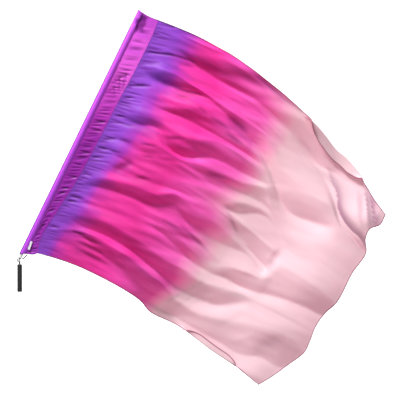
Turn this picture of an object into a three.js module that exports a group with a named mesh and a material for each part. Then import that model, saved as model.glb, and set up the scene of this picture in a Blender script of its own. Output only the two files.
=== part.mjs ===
// A silk worship flag flying from its pole, with its sleeve, rod, swivel and grip.
// Millimetres. +X runs the way the cloth flies, +Y away from the viewer, +Z up.
// The origin is the middle of the grip.
//
// Most sizes are given on the flag itself: "fly" is the distance square to the pole, "up" the
// distance along it from the sleeve's lower edge, and "out" the distance towards the viewer.

import * as THREE from "three";

// Driving sizes
const poleTilt = THREE.MathUtils.degToRad(26.04);
const poleFoot = new THREE.Vector3(5, 0, 72);
const hoistLength = 842;
const clothThickness = 1.5;
const pieceGap = 0.3;

const rodRadius = 5;
const rodFoot = -10;
const rodTop = 776;

const sleeveRadius = 7.8;
const sleeveBore = 5.8;
const tailThickness = 2.2;

const gripRadius = 7.5;
const gripLength = 86;
const gripRounding = 3;
const stemRadius = 2.5;
const bead = { x: -1.4, z: 56.8, radius: 3.1 };
const collar = { radius: 5.1, thick: 3, footRadius: 3.2, shoulder: 0.8 };
const yoke = { foot: 50.6, floor: 53.2, top: 61.6, left: -7.6, right: 3, arm: 2.6, depth: 4.6 };

const label = { width: 7.5, length: 27, thick: 1, fly: 12.6, up: 38, out: 5.25, slope: 0.24, lean: 0.1 };
const keeperRadius = 1.2;
const keeperRoute = [[6.3, -11], [10.4, -7.4], [14, 0.8], [17.08, 9.15]];

// Points on the flag
const alongFly = new THREE.Vector3(Math.cos(poleTilt), 0, -Math.sin(poleTilt));
const alongPole = new THREE.Vector3(Math.sin(poleTilt), 0, Math.cos(poleTilt));
const towardsViewer = new THREE.Vector3(0, -1, 0);

function onFlag(fly, up, out = 0) {
  return poleFoot
    .clone()
    .addScaledVector(alongFly, fly)
    .addScaledVector(alongPole, up)
    .addScaledVector(towardsViewer, out);
}

const { clamp, lerp, smoothstep } = THREE.MathUtils;

// A smooth curve through the rows of a table, read at one value of its first column
function readTable(rows, key, value, at) {
  const last = rows.length - 1;
  const place = clamp(at, rows[0][key], rows[last][key]);
  let i = 0;
  while (i < last - 1 && rows[i + 1][key] < place) i += 1;
  const row = (k) => rows[clamp(k, 0, last)];
  const [before, from, to, after] = [row(i - 1), row(i), row(i + 1), row(i + 2)];
  const span = to[key] - from[key];
  const t = (place - from[key]) / span;
  const slopeFrom = ((to[value] - before[value]) / (to[key] - before[key])) * span;
  const slopeTo = ((after[value] - from[value]) / (after[key] - from[key])) * span;
  const t2 = t * t;
  const t3 = t2 * t;
  return (
    (2 * t3 - 3 * t2 + 1) * from[value] +
    (t3 - 2 * t2 + t) * slopeFrom +
    (3 * t2 - 2 * t3) * to[value] +
    (t3 - t2) * slopeTo
  );
}

// The seam between sleeve and panel
const seamRows = [
  [28, 44], [60, 34], [94, 32], [186, 43], [300, 56], [440, 61], [566, 65], [660, 74], [773, 66], [839, 52],
].map(([up, fly]) => ({ up, fly }));
const seamFoot = seamRows[0].up;
const seamHead = seamRows[seamRows.length - 1].up;

function seamAt(up) {
  return readTable(seamRows, "up", "fly", up);
}

function besideSeam(up) {
  return [seamAt(up) + pieceGap, up];
}

// Outline of the panel. Each hem is a list of fly, up.
const topHem = [
  besideSeam(seamHead), [120, 844], [220, 847], [330, 840], [440, 820], [540, 797], [660, 758],
  [737, 722], [772, 714], [833, 687], [875, 658], [910, 633], [959, 606],
];
const bottomHem = [
  besideSeam(seamFoot), [98, 38], [180, 47], [320, 45], [393, 34], [436, 16], [541, 15],
  [654, -6], [765, -21], [837, -37],
];
const flyHem = [
  [959, 606], [957, 572], [934, 545], [936, 512], [957, 475], [946, 400], [942, 300],
  [925, 250], [917, 202], [921, 150], [921, 115], [895, 60], [863, 1], [837, -37],
];

// Main folds from the top hem down. Each falls away from the viewer between its crest and its
// valley, then the cloth comes forward again to the next crest.
function fold(...sections) {
  return sections.map(([fly, crest, valley, drop]) => ({ fly, crest, valley, drop }));
}

const folds = {
  topRoll: fold(
    [60, 812, 786, 2], [150, 822, 788, 6], [230, 826, 770, 20], [330, 822, 758, 26], [430, 806, 760, 16],
    [520, 768, 732, 12], [600, 760, 704, 18], [700, 712, 656, 24], [780, 690, 652, 12], [860, 664, 640, 8],
    [950, 606, 600, 0],
  ),
  cornerTuck: fold(
    [60, 742, 738, 0], [700, 648, 642, 0], [760, 638, 616, 12], [800, 606, 578, 18], [840, 562, 532, 24],
    [890, 544, 508, 34], [930, 524, 486, 34], [960, 506, 472, 26],
  ),
  highFold: fold(
    [60, 690, 676, 2], [130, 704, 668, 20], [180, 716, 674, 24], [250, 720, 690, 20], [330, 704, 684, 10],
    [430, 692, 648, 12], [520, 664, 616, 16], [600, 606, 568, 20], [700, 568, 540, 24], [760, 562, 530, 22],
    [800, 556, 528, 8], [860, 520, 505, 0],
  ),
  middleFold: fold(
    [60, 606, 598, 1], [180, 606, 594, 4], [250, 626, 600, 14], [310, 644, 602, 18], [400, 634, 594, 12],
    [470, 612, 588, 10], [540, 590, 574, 4], [620, 548, 540, 0], [900, 500, 494, 0],
  ),
  waistFold: fold(
    [60, 528, 514, 4], [150, 552, 524, 16], [220, 562, 542, 10], [260, 556, 534, 4], [320, 560, 518, 18],
    [400, 584, 540, 24], [500, 570, 532, 18], [570, 546, 528, 4], [640, 536, 530, 0], [900, 490, 484, 0],
  ),
  beltFold: fold(
    [60, 470, 462, 0], [180, 472, 452, 6], [240, 494, 456, 22], [320, 510, 472, 24], [420, 504, 474, 16],
    [510, 500, 478, 12], [600, 514, 472, 16], [700, 516, 468, 24], [800, 508, 484, 20], [870, 478, 466, 4],
    [950, 460, 450, 0],
  ),
  wedge: fold(
    [60, 440, 430, 6], [150, 412, 404, 2], [480, 416, 406, 0], [540, 438, 414, 10], [600, 454, 438, 6],
    [660, 450, 440, 0], [950, 440, 430, 0],
  ),
  triangle: fold(
    [60, 382, 374, 1], [150, 396, 366, 10], [220, 384, 376, 2], [500, 398, 392, 0], [560, 388, 366, 8],
    [620, 370, 328, 20], [695, 356, 294, 26], [730, 346, 332, 4], [800, 340, 334, 0], [950, 330, 322, 0],
  ),
  longFold: fold(
    [60, 290, 272, 12], [130, 326, 294, 20], [220, 346, 306, 24], [290, 352, 308, 24], [350, 380, 330, 30],
    [420, 362, 316, 26], [500, 354, 304, 22], [580, 328, 306, 8], [640, 312, 305, 0], [695, 290, 286, 0],
    [735, 330, 326, 0], [950, 316, 312, 0],
  ),
  hookFold: fold(
    [60, 240, 226, 8], [160, 246, 240, 0], [320, 266, 254, 4], [400, 266, 240, 14], [500, 236, 212, 12],
    [560, 232, 206, 6], [600, 252, 214, 16], [650, 264, 207, 26], [700, 272, 216, 32], [735, 322, 224, 36],
    [800, 318, 238, 34], [900, 300, 242, 32], [950, 280, 244, 24],
  ),
  lowFold: fold(
    [60, 198, 170, 8], [130, 206, 160, 20], [220, 206, 164, 26], [310, 202, 157, 28], [400, 184, 138, 30],
    [480, 178, 116, 28], [550, 170, 104, 28], [610, 178, 106, 24], [660, 190, 142, 16], [710, 206, 190, 0],
    [950, 206, 196, 0],
  ),
  hemFold: fold(
    [60, 120, 108, 4], [140, 148, 136, 8], [220, 146, 110, 18], [300, 142, 98, 26], [360, 128, 76, 32],
    [420, 112, 46, 36], [480, 98, 40, 22], [560, 92, 36, 12], [660, 104, 26, 14], [740, 122, 20, 22],
    [810, 134, 40, 34], [870, 134, 36, 24], [920, 116, 60, 10],
  ),
};

// Broad billows of the whole cloth: centre, reach each way and how far forward
const billows = [
  [330, 450, 300, 480, 34],
  [640, 300, 230, 330, -30],
  [870, 330, 210, 250, 46],
  [740, 700, 230, 170, -44],
  [930, 580, 90, 90, 30],
  [470, 20, 150, 140, -40],
  [800, -30, 150, 130, 30],
].map(([fly, up, flyReach, upReach, out]) => ({ fly, up, flyReach, upReach, out }));
const seamEase = 80;
const creaseSharpness = 1.6;
const leastFold = 3;
const softness = 7;
const flatAbove = hoistLength + 20;
const flatBelow = 90;

function billowAt(fly, up) {
  return billows.reduce((out, b) => {
    const across = (fly - b.fly) / b.flyReach;
    const along = (up - b.up) / b.upReach;
    return out + b.out * Math.exp(-2 * (across * across + along * along));
  }, 0);
}

// Crests stay round, valleys come to a crease
function foldAt(fly, up) {
  const lines = [{ up: flatAbove, out: 0 }];
  for (const sections of Object.values(folds)) {
    const [crest, valley, drop] = ["crest", "valley", "drop"].map((v) => readTable(sections, "fly", v, fly));
    const above = lines[lines.length - 1].up;
    const top = Math.min(crest, above - leastFold);
    const half = Math.max(drop, 0) / 2;
    lines.push({ up: top, out: half });
    lines.push({ up: Math.min(valley, top - leastFold), out: -half });
  }
  lines.push({ up: lines[lines.length - 1].up - flatBelow, out: 0 });
  const i = clamp(lines.findIndex((line) => line.up < up), 1, lines.length - 1);
  const [from, to] = [lines[i - 1], lines[i]];
  const t = clamp((from.up - up) / (from.up - to.up), 0, 1);
  const falls = i % 2 === 0;
  const ease = falls ? t ** creaseSharpness : 1 - (1 - t) ** creaseSharpness;
  return lerp(from.out, to.out, ease);
}

// The folds are averaged over a few millimetres, which rounds their creases as cloth does
function softFoldAt(fly, up) {
  const offsets = [-softness, 0, softness];
  const sum = offsets.flatMap((a) => offsets.map((b) => foldAt(fly + a, up + b)));
  return sum.reduce((total, out) => total + out, 0) / sum.length;
}

function outAt(fly, up) {
  const fromSeam = smoothstep(fly - seamAt(up), 0, seamEase);
  return fromSeam * (softFoldAt(fly, up) + billowAt(fly, up));
}

// Curls, where a hem turns over to the front of the cloth
const topCurl = { from: 590, to: 885, length: 42, radius: 4 };
const bottomCurl = { from: 535, to: 778, length: 27, radius: 3.5 };
const flatLength = 7;
const leastLength = 1.6;
const cornerEase = 0.08;
const fullTurn = THREE.MathUtils.degToRad(172);

function curlAt(curl, fly, u) {
  const t = clamp((fly - curl.from) / (curl.to - curl.from), 0, 1);
  const amount = Math.min(1, 1.25 * Math.sin(Math.PI * t));
  const ends = smoothstep(u, 0, cornerEase) * (1 - smoothstep(u, 1 - cornerEase, 1));
  const length = lerp(lerp(leastLength, flatLength, ends), curl.length, amount);
  const turn = fullTurn * smoothstep(amount, 0, 0.8);
  return { length, turn, radius: curl.radius };
}

// How far a point of the curl lies beyond the line where it starts, and how far in front
function alongCurl({ turn, radius }, distance) {
  const bend = radius * turn;
  const angle = Math.min(distance / radius, turn);
  const rest = Math.max(distance - bend, 0);
  return {
    beyond: radius * Math.sin(angle) + rest * Math.cos(turn),
    front: radius * (1 - Math.cos(angle)) + rest * Math.sin(turn),
  };
}

function widestReach(curl) {
  const quarter = Math.PI / 2;
  if (curl.turn > quarter) return curl.radius;
  return alongCurl(curl, curl.length).beyond;
}

// The panel's middle surface
const flyCells = 32;
const hoistCells = 46;
const bendCells = 3;
const nudge = 0.01;

function hemCurve(points) {
  return new THREE.CatmullRomCurve3(
    points.map(([fly, up]) => new THREE.Vector3(fly, up, 0)),
    false,
    "centripetal",
  );
}

function curlStart(curve, curl, inward) {
  return (u) => {
    const point = curve.getPointAt(u);
    const tangent = curve.getTangentAt(u);
    const reach = widestReach(curlAt(curl, point.x, u)) - leastLength;
    const away = new THREE.Vector3(tangent.y, -tangent.x, 0).multiplyScalar(inward);
    return point.addScaledVector(away, reach);
  };
}

const topCurve = hemCurve(topHem);
const bottomCurve = hemCurve(bottomHem);
const flyCurve = hemCurve(flyHem);
const topLine = curlStart(topCurve, topCurl, 1);
const bottomLine = curlStart(bottomCurve, bottomCurl, -1);

function seamLine(v) {
  const [fly, up] = besideSeam(lerp(seamHead, seamFoot, v));
  return new THREE.Vector3(fly, up, 0);
}

// A patch between the four edges: u runs from seam to fly, v from top to bottom
function patch(u, v) {
  const [top, bottom, seam, fly] = [topLine(u), bottomLine(u), seamLine(v), flyCurve.getPointAt(v)];
  const [head, foot] = [seamLine(0), seamLine(1)];
  const [far, low] = [flyCurve.getPointAt(0), flyCurve.getPointAt(1)];
  const point = new THREE.Vector3();
  point.addScaledVector(top, 1 - v).addScaledVector(bottom, v);
  point.addScaledVector(seam, 1 - u).addScaledVector(fly, u);
  point.addScaledVector(head, -(1 - u) * (1 - v)).addScaledVector(far, -u * (1 - v));
  point.addScaledVector(foot, -(1 - u) * v).addScaledVector(low, -u * v);
  return point;
}

function clothPoint(u, v) {
  const { x: fly, y: up } = patch(u, v);
  return onFlag(fly, up, outAt(fly, up));
}

// Distances along a curl at which the grid has a row: evenly round the bend, then to the hem
function curlDistances(curl) {
  const bend = Math.min(curl.radius * curl.turn, curl.length * 0.6) + 1;
  const round = Array.from({ length: bendCells }, (_, i) => (bend * (i + 1)) / bendCells);
  return [...round, (bend + curl.length) / 2, curl.length];
}

function curlRow(u, v, curl, inward) {
  const start = clothPoint(u, v);
  const outward = start.clone().sub(clothPoint(u, v + inward)).normalize();
  const along = clothPoint(Math.min(u + nudge, 1), v).sub(clothPoint(Math.max(u - nudge, 0), v));
  const front = along.cross(outward).normalize();
  if (front.dot(towardsViewer) < 0) front.negate();
  return curlDistances(curl).map((distance) => {
    const { beyond, front: ahead } = alongCurl(curl, distance);
    return start.clone().addScaledVector(outward, beyond).addScaledVector(front, ahead);
  });
}

function panelColumn(u) {
  const top = curlRow(u, 0, curlAt(topCurl, topCurve.getPointAt(u).x, u), nudge);
  const bottom = curlRow(u, 1, curlAt(bottomCurl, bottomCurve.getPointAt(u).x, u), -nudge);
  const middle = Array.from({ length: hoistCells + 1 }, (_, j) => clothPoint(u, j / hoistCells));
  return [...top.reverse(), ...middle, ...bottom];
}

// A closed solid from a grid of points on a sheet's middle surface
function sheetGeometry(columns, thickness) {
  const [wide, tall] = [columns.length, columns[0].length];
  const at = (i, j) => columns[clamp(i, 0, wide - 1)][clamp(j, 0, tall - 1)];
  const positions = [];
  for (const side of [1, -1]) {
    for (let i = 0; i < wide; i += 1) {
      for (let j = 0; j < tall; j += 1) {
        const across = at(i + 1, j).clone().sub(at(i - 1, j));
        const down = at(i, j + 1).clone().sub(at(i, j - 1));
        const normal = across.cross(down).normalize();
        const point = at(i, j).clone().addScaledVector(normal, (side * thickness) / 2);
        positions.push(point.x, point.y, point.z);
      }
    }
  }
  const front = (i, j) => i * tall + j;
  const back = (i, j) => wide * tall + front(i, j);
  const index = [];
  const quad = (a, b, c, d) => index.push(a, b, c, a, c, d);
  for (let i = 0; i + 1 < wide; i += 1) {
    for (let j = 0; j + 1 < tall; j += 1) {
      quad(front(i, j), front(i + 1, j), front(i + 1, j + 1), front(i, j + 1));
      quad(back(i, j), back(i, j + 1), back(i + 1, j + 1), back(i + 1, j));
    }
  }
  for (let i = 0; i + 1 < wide; i += 1) {
    quad(front(i, 0), back(i, 0), back(i + 1, 0), front(i + 1, 0));
    quad(front(i + 1, tall - 1), back(i + 1, tall - 1), back(i, tall - 1), front(i, tall - 1));
  }
  for (let j = 0; j + 1 < tall; j += 1) {
    quad(front(0, j + 1), back(0, j + 1), back(0, j), front(0, j));
    quad(front(wide - 1, j), back(wide - 1, j), back(wide - 1, j + 1), front(wide - 1, j + 1));
  }
  return solid(positions, index);
}

function solid(positions, index) {
  const geometry = new THREE.BufferGeometry();
  geometry.setAttribute("position", new THREE.Float32BufferAttribute(positions, 3));
  geometry.setIndex(index);
  geometry.computeVertexNormals();
  return geometry;
}

function panelGeometry() {
  const columns = Array.from({ length: flyCells + 1 }, (_, i) => panelColumn(i / flyCells));
  return sheetGeometry(columns, clothThickness);
}

// The sleeve: a channel round the rod and a doubled tail out to the seam, open at the foot and
// empty and crumpled above the rod
const sleeveCells = hoistCells;
const boreTop = rodTop + 3;
const boreEnd = rodTop + 10;
const slackFrom = rodTop - 6;
const slackTop = 3.2;
const headDip = 2;
const tailRoot = 4;
const puckers = { pitch: 31, height: 1.1, slant: 0.45 };
const crumple = { fly: 12, up: 806, reach: 16, depth: 3 };

// Half a section of the sleeve: share of the way to the seam, half thickness, angle in the bore
const sleeveHalf = [
  [1, tailThickness / 2, 4],
  [0.62, 1.3, 10],
  [0.34, 1.9, 20],
  [0.2, 3.6, 36],
  [0.06, 6.4, 58],
].map(([reach, half, angle]) => ({ reach, half, angle }));
const sleeveRound = [90, 135, 180];

// The lower edge climbs from the pole to the seam and the upper edge is nearly square to it
const footRows = [[-8, 0], [15, 10], [35, 18], [44, 28]].map(([fly, up]) => ({ fly, up }));
const headRows = [[-8, 842], [28, 838], [52, 839]].map(([fly, up]) => ({ fly, up }));

function edgeUp(rows, fly) {
  return readTable(rows, "fly", "up", fly);
}

// Fly and up of a place on the tail: reach 0 is the pole's side and 1 the seam
function tailPlace(t, reach) {
  const fly = lerp(tailRoot, seamAt(lerp(seamFoot, seamHead, t)), reach);
  const foot = edgeUp(footRows, lerp(tailRoot, seamAt(seamFoot), reach));
  const head = edgeUp(headRows, lerp(tailRoot, seamAt(seamHead), reach));
  return { fly, up: lerp(foot, head, t) };
}

function sleeveShift({ fly, up }, reach) {
  const free = 4 * reach * (1 - reach);
  const pucker = puckers.height * Math.sin((2 * Math.PI * (up - puckers.slant * fly)) / puckers.pitch);
  const apart = Math.hypot(fly - crumple.fly, up - crumple.up) / crumple.reach;
  return free * pucker - crumple.depth * Math.exp(-apart * apart);
}

function sleeveSection(t) {
  const slack = smoothstep(t * hoistLength, slackFrom, hoistLength);
  const front = sleeveHalf.map(({ reach, half, angle }) => {
    const place = tailPlace(t, reach);
    const thin = lerp(half, Math.min(half, slackTop), slack);
    return { ...place, half: thin, shift: sleeveShift(place, reach), angle };
  });
  for (const angle of sleeveRound) {
    const turn = THREE.MathUtils.degToRad(angle);
    const fly = sleeveRadius * Math.cos(turn);
    const up = lerp(edgeUp(footRows, fly), edgeUp(headRows, fly), t);
    const half = lerp(sleeveRadius, slackTop, slack) * Math.sin(turn);
    front.push({ fly, up, half, shift: sleeveShift({ fly, up }, 0), angle });
  }
  const back = front.slice(0, -1).reverse();
  return [
    ...front.map(({ fly, up, half, shift, angle }) => ({ fly, up, out: shift + half, angle })),
    ...back.map(({ fly, up, half, shift, angle }) => ({ fly, up, out: shift - half, angle: 360 - angle })),
  ];
}

function sleeveGeometry() {
  const outer = Array.from({ length: sleeveCells + 1 }, (_, k) => sleeveSection(k / sleeveCells));
  const around = outer[0].length;
  const boreRing = (up, radius) =>
    outer[0].map(({ angle }) => {
      const turn = THREE.MathUtils.degToRad(angle);
      const fly = radius * Math.cos(turn);
      return { fly, up: Math.max(up, edgeUp(footRows, fly)), out: radius * Math.sin(turn) };
    });
  const rings = [...outer, boreRing(0, sleeveBore), boreRing(boreTop, sleeveBore)];
  const points = rings.flat().map(({ fly, up, out }) => onFlag(fly, up, out));
  const head = outer[sleeveCells];
  const middle = (ring) => ring.reduce((sum, { fly }) => sum + fly / around, 0);
  points.push(onFlag(middle(head), hoistLength - headDip, 0), onFlag(0, boreEnd, 0));
  const [headCentre, boreCentre] = [points.length - 2, points.length - 1];
  const vertex = (ring, i) => ring * around + (i % around);
  const index = [];
  const wall = (ringA, ringB) => {
    for (let i = 0; i < around; i += 1) {
      const [a, b, c, d] = [vertex(ringA, i), vertex(ringA, i + 1), vertex(ringB, i + 1), vertex(ringB, i)];
      index.push(a, d, c, a, c, b);
    }
  };
  for (let k = 0; k < sleeveCells; k += 1) wall(k, k + 1);
  const [boreLow, boreHigh] = [sleeveCells + 1, sleeveCells + 2];
  wall(boreLow, 0);
  wall(boreHigh, boreLow);
  for (let i = 0; i < around; i += 1) {
    index.push(vertex(sleeveCells, i), headCentre, vertex(sleeveCells, i + 1));
    index.push(vertex(boreHigh, i), vertex(boreHigh, i + 1), boreCentre);
  }
  return solid(points.flatMap((p) => [p.x, p.y, p.z]), index);
}

// Turned parts
function turned(profile, sides) {
  const points = profile.map(([radius, height]) => new THREE.Vector2(radius, height));
  return new THREE.LatheGeometry(points, sides);
}

// Moves a shape that stands on +Y so that it stands along the pole, or upright
function standAlongPole(geometry, up) {
  const turn = new THREE.Quaternion().setFromUnitVectors(new THREE.Vector3(0, 1, 0), alongPole);
  const foot = onFlag(0, up);
  return geometry.applyQuaternion(turn).translate(foot.x, foot.y, foot.z);
}

function rodGeometry() {
  const bevel = 1;
  const length = rodTop - rodFoot;
  const profile = [[0, 0], [rodRadius - bevel, 0], [rodRadius, bevel]];
  profile.push([rodRadius, length - bevel], [rodRadius - bevel, length], [0, length]);
  return standAlongPole(turned(profile, 24), rodFoot);
}

// A thin metal cap under the rod's end
function collarGeometry() {
  const { radius, thick, footRadius, shoulder } = collar;
  const profile = [[0, 0], [footRadius, 0], [radius, shoulder], [radius, thick], [0, thick]];
  return standAlongPole(turned(profile, 24), rodFoot - pieceGap - thick);
}

function beadGeometry() {
  return new THREE.SphereGeometry(bead.radius, 20, 12).translate(bead.x, 0, bead.z);
}

// The yoke holds the bead: an arm beside it and a foot under it
function yokeGeometry() {
  const { foot, floor, top, left, right, arm, depth } = yoke;
  const chamfer = 1.2;
  const outline = [[left, foot], [right, foot], [right, floor], [left + arm, floor]];
  outline.push([left + arm, top - chamfer], [left + chamfer, top], [left, top - chamfer]);
  const shape = new THREE.Shape(outline.map(([x, z]) => new THREE.Vector2(x, z)));
  const geometry = new THREE.ExtrudeGeometry(shape, { depth, bevelEnabled: false });
  return geometry.rotateX(Math.PI / 2).translate(0, depth / 2, 0);
}

function stemGeometry() {
  const foot = gripLength / 2 + pieceGap;
  const length = yoke.foot - pieceGap - foot;
  const profile = [[0, 0], [stemRadius, 0], [stemRadius, length], [0, length]];
  return turned(profile, 20).rotateX(Math.PI / 2).translate(0, 0, foot);
}

function gripGeometry() {
  const arc = [0, 30, 60, 90].map((angle) => {
    const turn = THREE.MathUtils.degToRad(angle);
    const radius = gripRadius - gripRounding * (1 - Math.sin(turn));
    return [radius, gripRounding * (1 - Math.cos(turn))];
  });
  const upper = arc.map(([radius, height]) => [radius, gripLength - height]).reverse();
  const profile = [[0, 0], ...arc, ...upper, [0, gripLength]];
  return turned(profile, 28).rotateX(Math.PI / 2).translate(0, 0, -gripLength / 2);
}

// The elastic keeper from the collar to the sleeve's lower corner
function keeperGeometry() {
  const section = new THREE.Shape();
  section.absarc(0, 0, keeperRadius, 0, 2 * Math.PI, false);
  const extrudePath = new THREE.CatmullRomCurve3(keeperRoute.map(([fly, up]) => onFlag(fly, up)));
  return new THREE.ExtrudeGeometry(section, { steps: 10, curveSegments: 8, extrudePath });
}

// The bare label, sewn to the front of the sleeve beside the channel
function labelGeometry() {
  const geometry = new THREE.BoxGeometry(label.width, label.length, label.thick);
  const centre = onFlag(label.fly, label.up, label.out);
  geometry.rotateZ(label.lean).rotateY(label.slope).rotateX(Math.PI / 2).rotateY(poleTilt);
  return geometry.translate(centre.x, centre.y, centre.z);
}

// Finishes
const finishes = {
  silk: { color: 0xe6509f, roughness: 0.45, metalness: 0 },
  sleeveSilk: { color: 0xb23cc4, roughness: 0.45, metalness: 0 },
  whiteRod: { color: 0xf2f2f0, roughness: 0.35, metalness: 0 },
  steel: { color: 0xa9aaac, roughness: 0.3, metalness: 1 },
  darkSteel: { color: 0x55565a, roughness: 0.4, metalness: 0.9 },
  whitePlastic: { color: 0xf4f3ef, roughness: 0.3, metalness: 0 },
  blackRubber: { color: 0x161616, roughness: 0.7, metalness: 0 },
  blackElastic: { color: 0x1c1c1f, roughness: 0.85, metalness: 0 },
  whiteTape: { color: 0xf6f2f5, roughness: 0.7, metalness: 0 },
};

function piece(name, geometry, finish) {
  const mesh = new THREE.Mesh(geometry, new THREE.MeshStandardMaterial(finishes[finish]));
  mesh.name = name;
  return mesh;
}

const cloth = new THREE.Group();
cloth.add(
  piece("flag_panel", panelGeometry(), "silk"),
  piece("pole_sleeve", sleeveGeometry(), "sleeveSilk"),
  piece("label_tab", labelGeometry(), "whiteTape"),
  piece("elastic_keeper", keeperGeometry(), "blackElastic"),
);

const pole = new THREE.Group();
pole.add(
  piece("pole_rod", rodGeometry(), "whiteRod"),
  piece("rod_collar", collarGeometry(), "steel"),
  piece("swivel_bead", beadGeometry(), "whitePlastic"),
  piece("swivel_yoke", yokeGeometry(), "darkSteel"),
  piece("swivel_stem", stemGeometry(), "blackRubber"),
  piece("pole_grip", gripGeometry(), "blackRubber"),
);

const group = new THREE.Group();
group.add(cloth, pole);

export default group;
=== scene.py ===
import math

import bpy
import numpy as np
from mathutils import Matrix, Vector


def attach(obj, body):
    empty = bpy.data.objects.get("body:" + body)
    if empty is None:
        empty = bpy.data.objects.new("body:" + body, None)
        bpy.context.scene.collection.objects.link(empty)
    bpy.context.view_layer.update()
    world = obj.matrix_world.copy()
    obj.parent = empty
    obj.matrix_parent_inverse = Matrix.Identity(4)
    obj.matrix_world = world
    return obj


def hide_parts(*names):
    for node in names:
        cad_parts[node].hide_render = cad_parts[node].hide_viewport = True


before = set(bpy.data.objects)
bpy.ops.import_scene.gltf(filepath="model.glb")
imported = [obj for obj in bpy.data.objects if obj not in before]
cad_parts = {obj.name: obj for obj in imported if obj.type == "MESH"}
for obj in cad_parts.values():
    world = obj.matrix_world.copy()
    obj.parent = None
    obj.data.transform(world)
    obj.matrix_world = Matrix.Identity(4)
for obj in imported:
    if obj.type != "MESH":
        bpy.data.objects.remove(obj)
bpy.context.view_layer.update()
body = "root"
mm = 0.001
print("frame loaded:", len(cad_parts), "solids")

# The flag is measured in mm on itself: fly is square to the pole, up runs along it from the
# sleeve's lower edge, and out is towards the viewer. onFlag turns that into the frame's metres.
flag = {"tilt": math.radians(26.04), "foot": (5.0, 0.0, 72.0), "hoist": 842.0, "gap": 0.3}
alongFly = np.array([math.cos(flag["tilt"]), 0.0, -math.sin(flag["tilt"])])
alongPole = np.array([math.sin(flag["tilt"]), 0.0, math.cos(flag["tilt"])])
towardsViewer = np.array([0.0, -1.0, 0.0])


def onFlag(fly, up, out=0.0):
    fly, up, out = np.broadcast_arrays(*(np.asarray(a, float) for a in (fly, up, out)))
    place = fly[..., None] * alongFly + up[..., None] * alongPole + out[..., None] * towardsViewer
    return (np.array(flag["foot"]) + place) * mm


def smooth(t):
    t = np.clip(t, 0, 1)
    return t * t * (3 - 2 * t)


def unit(vectors):
    return vectors / np.maximum(np.linalg.norm(vectors, axis=-1, keepdims=True), 1e-12)


def table(columns, *rows):
    return dict(zip(columns.split(), np.array(rows, float).T))


def readTable(rows, key, value, at):  # a smooth curve through the rows
    keys, values = rows[key], rows[value]
    at = np.clip(at, keys[0], keys[-1])
    i = np.clip(np.searchsorted(keys, at) - 1, 0, len(keys) - 2)
    before, after = np.maximum(i - 1, 0), np.minimum(i + 2, len(keys) - 1)
    span = keys[i + 1] - keys[i]
    t = (at - keys[i]) / span
    slopeFrom = (values[i + 1] - values[before]) / (keys[i + 1] - keys[before]) * span
    slopeTo = (values[after] - values[i]) / (keys[after] - keys[i]) * span
    start = (2 * t**3 - 3 * t**2 + 1) * values[i] + (t**3 - 2 * t**2 + t) * slopeFrom
    return start + (3 * t**2 - 2 * t**3) * values[i + 1] + (t**3 - t**2) * slopeTo


# Camera: level, square to the spread of the cloth, far enough for nearly no perspective
viewpoint = {"x": 0.559, "z": 0.242, "distance": 9.0, "width": 1.24, "sensor": 0.036}


def makeCamera(place):
    data = bpy.data.cameras.new("studioCamera")
    data.sensor_width = place["sensor"] * 1000
    data.lens = place["sensor"] * 1000 * place["distance"] / place["width"]
    data.clip_end = 100
    camera = bpy.data.objects.new("studioCamera", data)
    camera.location = (place["x"], -place["distance"], place["z"])
    camera.rotation_euler = (math.pi / 2, 0, 0)
    bpy.context.scene.collection.objects.link(camera)
    bpy.context.scene.camera = camera


makeCamera(viewpoint)


# Seam and hems
seam = table(
    "up fly",
    (28, 44), (60, 34), (94, 32), (186, 43), (300, 55), (440, 60), (566, 62), (660, 66), (773, 67), (839, 63),
)
seamFoot, seamHead = seam["up"][0], seam["up"][-1]


def seamAt(up):
    return readTable(seam, "up", "fly", up)


def besideSeam(up):
    return (float(seamAt(up)) + flag["gap"], up)


topHem = [
    besideSeam(seamHead), (120, 844), (220, 847), (330, 840), (440, 820), (540, 797), (660, 758),
    (737, 722), (772, 714), (833, 687), (875, 658), (910, 633), (959, 606),
]
bottomHem = [
    besideSeam(seamFoot), (98, 38), (180, 47), (320, 45), (393, 34), (436, 16), (541, 15),
    (654, -6), (765, -21), (837, -37),
]
flyHem = [
    (959, 606), (957, 572), (934, 545), (936, 512), (957, 475), (946, 400), (942, 300),
    (925, 250), (917, 202), (921, 150), (921, 115), (895, 60), (863, 1), (837, -37),
]


def curveThrough(points, perSpan=60):  # centripetal curve, read by its share of the length
    p = np.array(points, float)
    p = np.vstack([2 * p[0] - p[1], p, 2 * p[-1] - p[-2]])
    t = np.linspace(0, 1, perSpan, endpoint=False)[:, None]
    line = []
    for p0, p1, p2, p3 in zip(p, p[1:], p[2:], p[3:]):
        d0, d1, d2 = (math.sqrt(np.linalg.norm(b - a)) for a, b in ((p0, p1), (p1, p2), (p2, p3)))
        leave = ((p1 - p0) / d0 - (p2 - p0) / (d0 + d1) + (p2 - p1) / d1) * d1
        arrive = ((p2 - p1) / d1 - (p3 - p1) / (d1 + d2) + (p3 - p2) / d2) * d1
        bend = -3 * p1 + 3 * p2 - 2 * leave - arrive
        twist = 2 * p1 - 2 * p2 + leave + arrive
        line.append(p1 + leave * t + bend * t**2 + twist * t**3)
    line = np.vstack([*line, p[-2][None]])
    length = np.concatenate([[0], np.cumsum(np.linalg.norm(np.diff(line, axis=0), axis=1))])
    share = length / length[-1]

    def at(u):
        return np.stack([np.interp(u, share, line[:, k]) for k in range(line.shape[1])], axis=-1)

    at.length = length[-1]
    return at


topCurve, bottomCurve, flyCurve = (curveThrough(points) for points in (topHem, bottomHem, flyHem))


def fold(*rows):
    return table("fly crest valley drop", *rows)


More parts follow.
